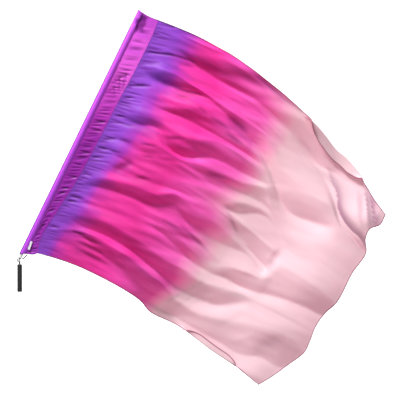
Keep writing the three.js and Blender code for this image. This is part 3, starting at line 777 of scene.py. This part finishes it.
def makePanelSilk(settings):
    material, nodes = newMaterial("gradientSilk")
    place = nodes.first("ShaderNodeUVMap", uv_map="cloth")
    dye, hem, doubled = (nodes.attribute(name) for name in ("dye", "hem", "doubled"))
    bleeding = {"Place": place, "Dye": dye, "Reach": settings["bleed"]}
    bled = nodes.add("ShaderNodeGroup", bleeding, node_tree=dyeBleed).outputs
    height = nodes.first("ShaderNodeGroup", {"Place": place}, node_tree=silkWeave)
    shade = nodes.ramp(nodes.math("DIVIDE", bled["Dye"], 4.0), panelColours)
    shade = nodes.darken(settings["mottle"], shade, nodes.ramp(bled["Patch"], settings["mottled"]))
    strong = nodes.spread(bled["Dye"], *settings["streaks"])  # streaks fade out towards the pale silk
    shade = nodes.darken(strong, shade, nodes.ramp(bled["Streak"], settings["streaked"]))
    # the hem is darker, partly for the rolled hem's extra layers of silk and partly as painted shade
    shade = nodes.darken(nodes.math("MULTIPLY", hem, settings["hem"]), shade, settings["hemLayersAndShade"])
    # painted shade in the creases and tucks, with the tucks' second layer of silk, darkens the face and the
    # light through it
    shade = nodes.darken(doubled, shade, settings["doubledShade"])
    glow = nodes.ramp(nodes.math("DIVIDE", dye, 4.0), panelGlow)
    glow = nodes.darken(doubled, glow, settings["doubledGlow"])
    through = nodes.spread(dye, *settings["through"])
    silkSurface(nodes, shade, glow, height, through, settings["roughness"])
    return material


def makePanel(settings):
    place, fly, up, edge = panelGrid(settings)
    wide, tall = fly.shape
    faces = gridFaces(wide, tall)[:, ::-1]
    hemmed = 1 - smooth((edge - settings["hem"] * 0.6) / (settings["hem"] * 0.5))
    piece = makeMesh(
        "flagPanel", place.reshape(-1, 3), faces, np.stack([fly, up], axis=-1).reshape(-1, 2) * mm,
        {"dye": dyeAt(fly, up), "hem": hemmed, "doubled": doubledAt(fly, up)},
    )
    weights = np.round(hemmed.ravel(), 1)
    thicken(piece, settings["hemThickness"], weights, settings["thickness"] / settings["hemThickness"])
    finishPiece(piece, makePanelSilk(panelFinish), "panel_silk", "flag_panel")
    print("panel:", len(piece.data.polygons), "faces")
    return place, edge


# The sleeve: one strip round the rod, with two tails that hold the panel between them
sleeve = {
    "rows": 420, "tailColumns": 16, "edgeShare": 0.992, "channel": 7.3, "round": (78, 180, 12),
    "stitchFly": 10.6, "root": 11.2, "tail": 0.62, "puff": 3.6, "sink": 0.35, "fade": 6, "held": 0.88,
    "rodTop": 776, "slack": 3.0, "slackFrom": 770, "slackOver": 40, "hem": 0.7, "thickness": 0.36,
    "flat": (0.15, 0.842),
}
sleeveFoot = table("fly up", (-8, 0), (15, 10), (35, 18), (44, 28))
sleeveHead = table("fly up", (-8, 842), (28, 838), (63, 840))
channelSide = table("fly out", (10.6, 0.5), (9.9, 1.7), (8.8, 3.4), (7.2, 4.9), (4.9, 6.15), (2.3, 6.95))
headerPuckers = {
    "seed": 3, "first": 6.0, "last": 800, "pitch": 10.5, "jitter": 4.5, "rise": (10, 24), "width": (2.2, 3.8),
    "depth": (1.4, 3.4), "start": (11, 17), "end": (0, 8), "calmAbove": 655, "above": (0.4, 2.6),
    "below": (0.9, 1.0),
}
headerCreases = table(
    "fly up flyTo upTo width depth",
    (12, 560, 40, 600, 3, 1.0), (50, 560, 24, 604, 3, 1.0), (14, 590, 44, 640, 3.5, 1.2),
    (56, 580, 30, 634, 3, 1.2), (20, 620, 60, 650, 3.5, 1.2), (60, 590, 44, 655, 4, 1.2),
    (-4, 844, 38, 802, 8, 1.7), (34, 842, 0, 796, 8, 1.7), (-2, 816, 40, 782, 7, 1.6),
    (34, 812, 0, 766, 7, 1.6), (10, 770, 18, 826, 7, 1.4), (22, 780, 60, 800, 5, 0.8),
    (14, 718, 66, 738, 4, 1.4), (16, 684, 64, 704, 4, 1.3), (14, 746, 50, 760, 5, 0.8),
    # the last row is a trough beside the label, and its gather darkening is the label's painted shadow
    (15.5, 54, 20.5, 21, 2.2, 2.0),
)


def makeHeaderRows(settings):
    chance = np.random.default_rng(settings["seed"])
    rows = []
    up = settings["first"]
    while up < settings["last"]:
        rise, width, depth, start, end = (
            chance.uniform(*settings[name]) for name in ("rise", "width", "depth", "start", "end"))
        calm, spread = settings["above" if up > settings["calmAbove"] else "below"]
        rows.append((start, up, float(seamAt(up)) - end, up + rise, width, depth * calm))
        up += (settings["pitch"] + chance.uniform(-1, 1) * settings["jitter"]) * spread
    return table("fly up flyTo upTo width depth", *rows)


headerRows = makeHeaderRows(headerPuckers)


def sleeveGrid(settings):
    t = np.linspace(0, 1, settings["rows"] + 1)
    shares = np.concatenate([[1, settings["edgeShare"]], np.linspace(1, 0, settings["tailColumns"])[1:]])
    root, fade = settings["root"], settings["fade"]
    seamFly = seamAt(seamFoot + (seamHead - seamFoot) * t)
    outs = settings["tail"] + (settings["puff"] * shares - settings["sink"]) * (1 - shares)
    runs = [(root + (seamFly - root) * share, out) for share, out in zip(shares, outs)]
    turns = np.radians(np.linspace(*settings["round"]))
    ring = [(settings["channel"] * math.cos(a), settings["channel"] * math.sin(a)) for a in turns]
    runs += [(np.full(t.shape, fly), out) for fly, out in [*zip(*channelSide.values()), *ring]]
    columns = []
    for fly, out in runs:
        foot = readTable(sleeveFoot, "fly", "up", fly[0])
        head = readTable(sleeveHead, "fly", "up", fly[-1])
        columns.append((fly, foot + (head - foot) * t, np.full(t.shape, out)))
    fly, up, half = (np.array(part) for part in zip(*columns))
    slack = smooth((up - settings["slackFrom"]) / settings["slackOver"])
    half = np.minimum(half, half + (settings["slack"] - half) * slack * (half > settings["slack"]))
    tail = smooth((fly - settings["stitchFly"]) / fade) + slack
    shift = np.clip(tail, 0, 1) * (creaseOut(fly, up, headerRows) + creaseOut(fly, up, headerCreases))
    shift *= 1 - settings["held"] * smooth((fly - seamFly + fade) / fade)
    front = onFlag(fly, up, shift + half)
    back = onFlag(fly, up, shift - half)[:-1][::-1]
    wide = np.concatenate([fly, 2 * fly.min() - fly[:-1][::-1]])
    return np.concatenate([front, back]), wide, np.concatenate([up, up[:-1][::-1]])


sleeveHeader = [
    (0.0, colour(172, 60, 200)), (0.12, colour(162, 42, 178)), (0.45, colour(158, 32, 168)),
    (0.62, colour(186, 48, 184)), (0.78, colour(226, 90, 216)), (0.88, colour(224, 88, 218)),
    (0.97, colour(196, 70, 204)),
]
sleeveTube = [(0.0, colour(212, 88, 250)), (0.5, colour(224, 94, 255)), (1.0, colour(230, 100, 252))]
sleeveFinish = {
    "roughness": 0.4, "bleed": 0.25, "through": 0.22, "gamma": 1.6, "rimShading": (0.12, 0.5),
    "rimShadingColour": colour(84, 26, 116), "gatherAndHemShadeColour": (0.2, 0.02, 0.24, 1),
}


def makeSleeveSilk(settings):
    material, nodes = newMaterial("sleeveSilk")
    place = nodes.first("ShaderNodeUVMap", uv_map="cloth")
    along, channel, gatherShadeAndHems = (nodes.attribute(name) for name in ("along", "channel", "gatherShadeAndHems"))
    bleeding = {"Place": place, "Dye": along, "Reach": settings["bleed"]}
    bled = nodes.first("ShaderNodeGroup", bleeding, node_tree=dyeBleed)
    height = nodes.first("ShaderNodeGroup", {"Place": place}, node_tree=silkWeave)
    # painted shade along the rod side of the channel, darkest where it turns away from the view
    facing = nodes.add("ShaderNodeLayerWeight", {"Blend": 0.5}).outputs["Facing"]
    poleSide = nodes.math("LESS_THAN", nodes.first("ShaderNodeSeparateXYZ", {0: place}), 0.0)
    onChannel = nodes.math("MULTIPLY", poleSide, channel)
    rimShading = nodes.math("MULTIPLY", nodes.spread(facing, *settings["rimShading"]), onChannel)
    shades = []
    for run in (bled, along):  # the face, and the light through it, which has no bleed
        dyed = nodes.mix(channel, nodes.ramp(run, sleeveHeader), nodes.ramp(run, sleeveTube))
        # the painted rim shade
        dyed = nodes.mix(rimShading, dyed, settings["rimShadingColour"])
        # painted shade in the gathers, and the darker hemmed rows at the foot and the head
        shades.append(nodes.darken(gatherShadeAndHems, dyed, settings["gatherAndHemShadeColour"]))
    glow = nodes.first("ShaderNodeGamma", {"Color": shades[1], "Gamma": settings["gamma"]})
    silkSurface(nodes, shades[0], glow, height, settings["through"], settings["roughness"])
    return material


def makeSleeve(settings):
    place, fly, up = sleeveGrid(settings)
    wide, tall = fly.shape
    middle = settings["channel"]  # how far the strip's middle lies beyond the rod's own middle
    channel = 1 - smooth((np.abs(fly + middle) - middle - settings["stitchFly"] + 1) / 3)
    across = np.where(fly < -middle, -2 * middle - fly, fly)
    # painted shade in the header's gathers and creases, and in the crumple above the rod's top
    gatherShade = np.maximum(troughShade(across, up, headerRows, 0.45), troughShade(across, up, headerCreases, 0.95))
    onTube = smooth((up - settings["rodTop"]) / 20) * smooth((across + 6) / 8)
    gatherShade *= np.maximum(1 - channel, onTube)
    row = np.arange(tall)
    ends = settings["hem"] * (1 - smooth(np.minimum(row, tall - 1 - row) / 2))  # the foot's and the head's
    piece = makeMesh(
        "poleSleeve", place.reshape(-1, 3), gridFaces(wide, tall),
        np.stack([fly, up], axis=-1).reshape(-1, 2) * mm,
        {"along": up / flag["hoist"], "channel": channel, "gatherShadeAndHems": np.maximum(gatherShade, ends)},
    )
    thicken(piece, settings["thickness"])
    finishPiece(piece, makeSleeveSilk(sleeveFinish), "sleeve_silk", "pole_sleeve")
    print("sleeve:", len(piece.data.polygons), "faces")
    return place


# Turned parts: profiles are radius and height in mm, round the pole or upright
def lathe(profile, sides):
    angles = np.arange(sides) * 2 * math.pi / sides
    rings = profile[1:-1]
    points = [(r * math.cos(a), r * math.sin(a), h) for r, h in rings for a in angles]
    points += [(0, 0, profile[0][1]), (0, 0, profile[-1][1])]
    return np.array(points), closedFaces(len(rings), sides)


def roundedPin(sizes, onPole=False):
    radius, foot, head, rounding = (sizes[name] for name in ("radius", "foot", "head", "rounding"))
    turns = np.linspace(0, math.pi / 2, sizes["steps"])
    low = [(radius - rounding * (1 - math.sin(a)), foot + rounding * (1 - math.cos(a))) for a in turns]
    high = [(r, head - (h - foot)) for r, h in reversed(low)]
    points, faces = lathe([(0, foot), *low, *high, (0, head)], sizes["sides"])
    if onPole:
        turn = np.array(Vector((0, 0, 1)).rotation_difference(Vector(alongPole)).to_matrix())
        points = points @ turn.T + np.array(flag["foot"])
    return points, faces


# Plain finishes: shade, roughness, size of the grain, metallic, strength of the bump
finishes = {
    "whiteRodFinish": (colour(240, 240, 238), 0.34, 0.0012, 0.0, 0.12),
    "brightMetal": (colour(176, 176, 180), 0.28, 0.0006, 1.0, 0.12),
    "whiteBeadFinish": (colour(240, 240, 236), 0.25, 0.002, 0.0, 0.12),
    "darkMetal": (colour(96, 97, 102), 0.36, 0.0005, 1.0, 0.12),
    "blackGripRubber": (colour(30, 30, 31), 0.62, 0.0007, 0.0, 0.3),
    "blackBraid": (colour(14, 13, 15), 0.82, 0.0003, 0.0, 0.5),
    "violetThread": (colour(204, 92, 216), 0.5, 0.0002, 0.0, 0.4),
    "roseThread": (colour(196, 120, 152), 0.5, 0.0002, 0.0, 0.4),
}
grain = {"range": 0.12, "wear": 0.3, "worn": 0.72, "bumpDepth": 0.0002}


def makePlain(name, shade, roughness, size, metallic, strength):
    material, nodes = newMaterial(name)
    inputs = {"Size": size, "Roughness": roughness, "Range": grain["range"]}
    group = nodes.add("ShaderNodeGroup", inputs, node_tree=fineGrain).outputs
    wornShade = (*[c * grain["worn"] for c in shade[:3]], 1)
    worn = nodes.mix(nodes.math("MULTIPLY", group["Wear"], grain["wear"]), shade, wornShade)
    nodes.show(nodes.first("ShaderNodeBsdfPrincipled", {
        "Base Color": worn, "Roughness": group["Roughness"], "Metallic": metallic,
        "Normal": nodes.bump(group["Height"], strength, grain["bumpDepth"])}))
    return material


plain = {name: makePlain(name, *values) for name, values in finishes.items()}
fittings = {
    "rod": {"radius": 5.0, "foot": -10.0, "head": 776.0, "rounding": 1.0, "steps": 6, "sides": 40},
    "collar": {"radius": 5.1, "foot": -13.3, "head": -10.3, "rounding": 0.8, "steps": 4, "sides": 40},
    "bead": {"radius": 3.1, "x": -1.4, "z": 56.8, "steps": 20, "sides": 32},
    "yoke": {"foot": 50.6, "floor": 53.2, "top": 61.6, "left": -7.6, "right": 3.0, "arm": 2.6, "depth": 4.6,
             "chamfer": 1.2, "edge": 0.35},
    "stem": {"radius": 2.5, "foot": 43.3, "head": 50.3, "rounding": 0.5, "steps": 4, "sides": 32},
    "grip": {"radius": 7.5, "foot": -43.0, "head": 43.0, "rounding": 3.0, "steps": 8, "sides": 56},
}


def makeFittings(sizes):
    rod, collar, bead, yoke, stem, grip = sizes.values()
    rows = [
        ("poleRod", roundedPin(rod, True), "whiteRodFinish", "white_rod", "pole_rod"),
        ("rodCollar", roundedPin(collar, True), "brightMetal", "bright_metal", "rod_collar"),
        ("swivelBead", ballShape(bead), "whiteBeadFinish", "white_bead", "swivel_bead"),
        ("swivelYoke", yokeShape(yoke), "darkMetal", "dark_metal", "swivel_yoke"),
        ("swivelStem", roundedPin(stem), "blackGripRubber", "black_grip", "swivel_stem"),
        ("poleGrip", roundedPin(grip), "blackGripRubber", "black_grip", "pole_grip"),
    ]
    for name, (points, faces), finish, slotName, node in rows:
        piece = makeMesh(name, points * mm, faces)
        if name == "swivelYoke":
            softenEdges(piece, yoke["edge"])
        finishPiece(piece, plain[finish], slotName, node)
    print("fittings:", len(rows))


def ballShape(sizes):
    turns = np.linspace(-math.pi / 2, math.pi / 2, sizes["steps"])
    profile = [(sizes["radius"] * math.cos(a), sizes["radius"] * math.sin(a)) for a in turns]
    points, faces = lathe(profile, sizes["sides"])
    return points + (sizes["x"], 0, sizes["z"]), faces


def yokeShape(sizes):
    left, right, foot, floor, top, chamfer = (
        sizes[name] for name in ("left", "right", "foot", "floor", "top", "chamfer"))
    inner = left + sizes["arm"]
    outline = [(left, foot), (right, foot), (right, floor), (inner, floor), (inner, top - chamfer),
               (left + chamfer, top), (left, top - chamfer)]
    half = sizes["depth"] / 2
    count = len(outline)
    points = [(x, y, z) for y in (-half, half) for x, z in outline]
    faces = [tuple(range(count)), tuple(range(2 * count - 1, count - 1, -1))]
    faces += [((i + 1) % count, i, count + i, count + (i + 1) % count) for i in range(count)]
    return np.array(points), faces


def softenEdges(piece, width):
    bevel = piece.modifiers.new("edges", "BEVEL")
    bevel.width = width * mm
    bevel.segments = 3
    applyModifiers(piece)


# The bare label: a white tape folded once, with its fold beside the channel
label = {
    "width": 7.2, "length": 27.0, "layer": 0.26, "short": 0.25, "thickness": 0.3, "warp": 0.3, "rows": 40,
    "columns": 12, "fly": 12.6, "up": 38.0, "out": 5.25, "slope": 0.24, "lean": 0.1,
}
tape = {
    "yarn": 0.0009, "threads": 0.5, "edge": 1.2, "edgeShare": 0.85, "edgeShadowColour": colour(84, 30, 100),
    "deep": colour(246, 244, 248), "high": colour(255, 255, 255), "roughness": 0.7, "sheen": 0.2,
    "bump": 0.5, "bumpDepth": 0.0002,
}


def onLabel(across, along, high):
    turn = Matrix.Rotation(flag["tilt"], 3, "Y") @ Matrix.Rotation(math.pi / 2, 3, "X")
    turn = turn @ Matrix.Rotation(label["slope"], 3, "Y") @ Matrix.Rotation(label["lean"], 3, "Z")
    local = np.stack(np.broadcast_arrays(across, along, high), axis=-1) * mm
    return local @ np.array(turn).T + onFlag(label["fly"], label["up"], label["out"])


def makeTape(settings, side):
    material, nodes = newMaterial("whiteTape")
    place = nodes.first("ShaderNodeUVMap", uv_map="cloth")
    inputs = {"Place": place, "Yarn": settings["yarn"], "Threads": settings["threads"]}
    height = nodes.first("ShaderNodeGroup", inputs, node_tree=silkWeave)
    across = nodes.first("ShaderNodeSeparateXYZ", {0: place})
    # a painted shadow along the tape's right edge
    edge = nodes.math("GREATER_THAN", across, (side - settings["edge"]) * mm)
    shade = nodes.mix(height, settings["deep"], settings["high"])
    shade = nodes.mix(nodes.math("MULTIPLY", edge, settings["edgeShare"]), shade, settings["edgeShadowColour"])
    nodes.show(nodes.first("ShaderNodeBsdfPrincipled", {
        "Base Color": shade, "Roughness": settings["roughness"], "Sheen Weight": settings["sheen"],
        "Normal": nodes.bump(height, settings["bump"], settings["bumpDepth"])}))
    return material


def makeLabel(settings):
    side, layer = settings["width"] / 2, settings["layer"]
    x = np.linspace(side, -side + layer, settings["columns"])
    turns = np.linspace(math.pi / 2, 3 * math.pi / 2, 8)[1:-1]
    across = np.concatenate([x, -side + layer + layer * np.cos(turns), x[::-1] - settings["short"]])
    high = np.concatenate([0 * x + layer, layer * np.sin(turns), 0 * x - layer])
    along = np.linspace(-0.5, 0.5, settings["rows"]) * settings["length"]
    across, along, high = across[:, None], along[None], high[:, None]
    bow = settings["warp"] * (np.cos(along * 0.16 + 0.6) * 0.4 + (across / side) ** 2 * 0.7 - 0.35)
    place = onLabel(across, along, high + bow * (high > 0))
    piece = makeMesh(
        "labelTape", place.reshape(-1, 3), gridFaces(*place.shape[:2]),
        np.stack(np.broadcast_arrays(across, along), axis=-1).reshape(-1, 2) * mm,
    )
    thicken(piece, settings["thickness"])
    finishPiece(piece, makeTape(tape, side), "white_tape", "label_tab")
    print("label:", len(piece.data.polygons), "faces")


# The keeper: round braided elastic from the collar to the sleeve's lower corner
keeper = {
    "route": [(7.1, -10.8), (10.6, -7.4), (14, 0.8), (17.0, 8.9)], "radius": 1.6, "strand": 0.13,
    "strands": 8, "braid": 2.6, "rounding": 0.9, "rings": 150, "sides": 48,
}


def makeKeeper(settings):
    route = curveThrough([(*point, 0.0) for point in settings["route"]])
    t = np.linspace(0, 1, settings["rings"])
    line = route(t)
    out = np.array((0, 0, 1.0))
    side = np.cross(out, unit(np.gradient(line, axis=0)))
    angles = np.arange(settings["sides"]) * 2 * math.pi / settings["sides"]
    twist = (t * route.length / settings["braid"])[:, None]
    strands = settings["strands"] / 2
    relief = np.sin(strands * (angles + twist)) * np.sin(strands * (angles - twist))
    ends = np.minimum(1, np.minimum(t, 1 - t)[:, None] * route.length / settings["rounding"])
    narrowing = np.sqrt(np.maximum(1 - (1 - ends) ** 2, 0.02))
    radius = (settings["radius"] + settings["strand"] * relief) * narrowing
    ring = side[:, None] * np.cos(angles)[:, None] + out * np.sin(angles)[:, None]
    points = (line[:, None] + ring * radius[..., None]).reshape(-1, 3)
    points = np.vstack([points, line[:1], line[-1:]])
    piece = makeMesh("elasticKeeper", onFlag(*points.T), closedFaces(settings["rings"], settings["sides"]))
    finishPiece(piece, plain["blackBraid"], "black_elastic", "elastic_keeper")
    print("keeper:", round(route.length, 1), "mm")


# Stitches: short lays of thread along the channel, the seam and the hems, on both faces
stitches = {"pitch": 3.3, "length": 2.5, "thread": 0.5, "seamInset": 2.4, "hemInset": 2.7}


def makeStitchTree():
    tree = bpy.data.node_groups.new("stitchRows", "GeometryNodeTree")
    tree.interface.new_socket("Lines", in_out="INPUT", socket_type="NodeSocketGeometry")
    for name in ("Pitch", "Stitch Length", "Thread"):
        tree.interface.new_socket(name, in_out="INPUT", socket_type="NodeSocketFloat")
    tree.interface.new_socket("Finish", in_out="INPUT", socket_type="NodeSocketMaterial")
    tree.interface.new_socket("Stitches", in_out="OUTPUT", socket_type="NodeSocketGeometry")
    nodes = Nodes(tree)
    given = nodes.add("NodeGroupInput").outputs
    line = nodes.first("GeometryNodeMeshToCurve", {"Mesh": given["Lines"]})
    spacing = {"Curve": line, "Length": given["Pitch"]}
    spots = nodes.add("GeometryNodeCurveToPoints", spacing, mode="LENGTH").outputs
    turn = nodes.first("FunctionNodeAlignRotationToVector", {"Vector": spots["Tangent"]}, axis="X")
    thread = given["Thread"]
    size = nodes.first("ShaderNodeCombineXYZ", {0: given["Stitch Length"], 1: thread, 2: thread})
    lay = nodes.first("GeometryNodeMeshIcoSphere", {"Radius": 0.5, "Subdivisions": 1})
    placed = nodes.first("GeometryNodeInstanceOnPoints", {
        "Points": spots["Points"], "Instance": lay, "Rotation": turn, "Scale": size})
    solid = nodes.first("GeometryNodeRealizeInstances", {"Geometry": placed})
    painted = nodes.first("GeometryNodeSetMaterial", {"Geometry": solid, "Material": given["Finish"]})
    nodes.add("NodeGroupOutput", {"Stitches": painted})
    return tree


def makeStitches(name, tree, lines, material, slotName):
    points, edges = [], []
    for line in lines:
        edges += [(len(points) + i, len(points) + i + 1) for i in range(len(line) - 1)]
        points += [tuple(point) for point in line]
    mesh = bpy.data.meshes.new(name)
    mesh.from_pydata(points, edges, [])
    piece = bpy.data.objects.new(name, mesh)
    bpy.context.scene.collection.objects.link(piece)
    rows = piece.modifiers.new("stitches", "NODES")
    rows.node_group = tree
    sockets = {item.name: item.identifier for item in tree.interface.items_tree if item.in_out == "INPUT"}
    rows[sockets["Pitch"]] = stitches["pitch"] * mm
    rows[sockets["Stitch Length"]] = stitches["length"] * mm
    rows[sockets["Thread"]] = stitches["thread"] * mm
    rows[sockets["Finish"]] = material
    applyModifiers(piece)
    finishPiece(piece, material, slotName)
    print(name + ":", len(piece.data.polygons), "faces")


def sleeveLines(place, settings):
    columns = (len(place) + 1) // 2
    root = settings["tailColumns"]
    lift = (settings["thickness"] / 2 + stitches["thread"] * 0.25) * mm
    share = (stitches["seamInset"] / np.linalg.norm(place[0] - place[2], axis=1) * mm)[:, None]
    lines = []
    for side, first, second, stitched in (
            (1, 0, 2, root), (-1, 2 * columns - 2, 2 * columns - 4, 2 * columns - 2 - root)):
        raised = towardsViewer * lift * side
        lines.append((place[first] * (1 - share) + place[second] * share)[3:-3] + raised)
        lines.append(place[stitched][3:-3] + raised)
    return lines


def hemLines(place, edge, settings):
    normals = unit(np.cross(np.gradient(place, axis=0), np.gradient(place, axis=1)))
    lift = (settings["hemThickness"] / 2 + stitches["thread"] * 0.2) * mm
    depth = curling["bendRows"] + curling["flatRows"]
    lines = []
    for cut in (slice(0, depth), slice(-1, -depth - 1, -1)):
        base, up = [], []
        for points, facing, far in zip(place[3:-4, cut], normals[3:-4, cut], edge[3:-4, cut]):
            base.append([np.interp(stitches["hemInset"], far, points[:, k]) for k in range(3)])
            up.append([np.interp(stitches["hemInset"], far, facing[:, k]) for k in range(3)])
        lines += [np.array(base) + np.array(up) * lift * side for side in (1, -1)]
    inner = slice(depth // 2, -(depth // 2))
    lines += [place[-3, inner] + normals[-3, inner] * lift * side for side in (1, -1)]
    return lines


# Lights, floor and backdrop
studio = {
    "centre": (0.55, 0.0, 0.24), "floor": -0.62, "radius": 4.6, "cove": 1.6, "height": 5.0, "sides": 96,
    "glow": 0.08, "seenGlow": 0.6, "bounce": 0.2, "paint": 0.9, "sky": 0.3,
}
lamps = table(
    "x y z size power",
    (-0.6, -1.5, 3.5, 1.0, 235), (0.9, 1.5, 3.0, 1.6, 190), (0.3, -4.2, 0.9, 2.4, 26),
)


def makeStage(settings):
    turns = np.linspace(-math.pi / 2, 0, 12)
    cove = settings["cove"]
    corner = settings["radius"] - cove
    profile = [(0.0, 0.0), (corner * 0.5, 0.0)]
    profile += [(corner + cove * math.cos(a), cove * (1 + math.sin(a))) for a in turns]
    profile.append((settings["radius"], settings["height"]))
    angles = np.arange(settings["sides"]) * 2 * math.pi / settings["sides"]
    points = np.array([(r * math.cos(a), r * math.sin(a), h) for r, h in profile for a in angles])
    points += (*settings["centre"][:2], settings["floor"])
    stage = makeMesh("paleFloor", points, ringFaces(len(profile), settings["sides"])[:, ::-1])
    material, nodes = newMaterial("paleStage")
    back = nodes.add("ShaderNodeNewGeometry").outputs["Backfacing"]
    seen = nodes.add("ShaderNodeLightPath").outputs["Is Camera Ray"]
    glow = nodes.math("MULTIPLY_ADD", seen, settings["seenGlow"] - settings["glow"], settings["glow"])
    paint = nodes.mix(seen, (*[settings["bounce"]] * 3, 1), (*[settings["paint"]] * 3, 1))
    surface = nodes.first("ShaderNodeBsdfPrincipled", {
        "Base Color": paint, "Roughness": 0.9, "Specular IOR Level": 0.0,
        "Emission Color": (1, 1, 1, 1), "Emission Strength": glow})
    clear = nodes.first("ShaderNodeBsdfTransparent")
    nodes.show(nodes.first("ShaderNodeMixShader", {0: back, 1: surface, 2: clear}))
    stage.data.materials.append(material)
    print("stage:", len(stage.data.polygons), "faces")


def makeLights(settings, centre):
    for n, (x, y, z, size, power) in enumerate(zip(*settings.values())):
        data = bpy.data.lights.new(f"softbox{n}", "AREA")
        data.shape = "DISK"
        data.size = size
        data.energy = power
        lamp = bpy.data.objects.new(f"softbox{n}", data)
        lamp.location = (x, y, z)
        lamp.rotation_euler = (Vector(centre) - Vector((x, y, z))).to_track_quat("-Z", "Y").to_euler()
        bpy.context.scene.collection.objects.link(lamp)
    world = bpy.data.worlds.new("studioWorld")
    world.use_nodes = True
    world.node_tree.nodes["Background"].inputs[0].default_value = (1, 1, 1, 1)
    world.node_tree.nodes["Background"].inputs[1].default_value = studio["sky"]
    bpy.context.scene.world = world
    bpy.context.scene.view_settings.view_transform = "Standard"


makeStage(studio)
makeLights(lamps, studio["centre"])
makeFittings(fittings)
sleevePlace = makeSleeve(sleeve)
panelPlace, panelEdge = makePanel(panel)
makeLabel(label)
makeKeeper(keeper)
stitchRows = makeStitchTree()
onSleeve, onPanel = sleeveLines(sleevePlace, sleeve), hemLines(panelPlace, panelEdge, panel)
makeStitches("sleeveStitches", stitchRows, onSleeve, plain["violetThread"], "sleeve_silk")
makeStitches("hemStitches", stitchRows, onPanel, plain["roseThread"], "panel_silk")
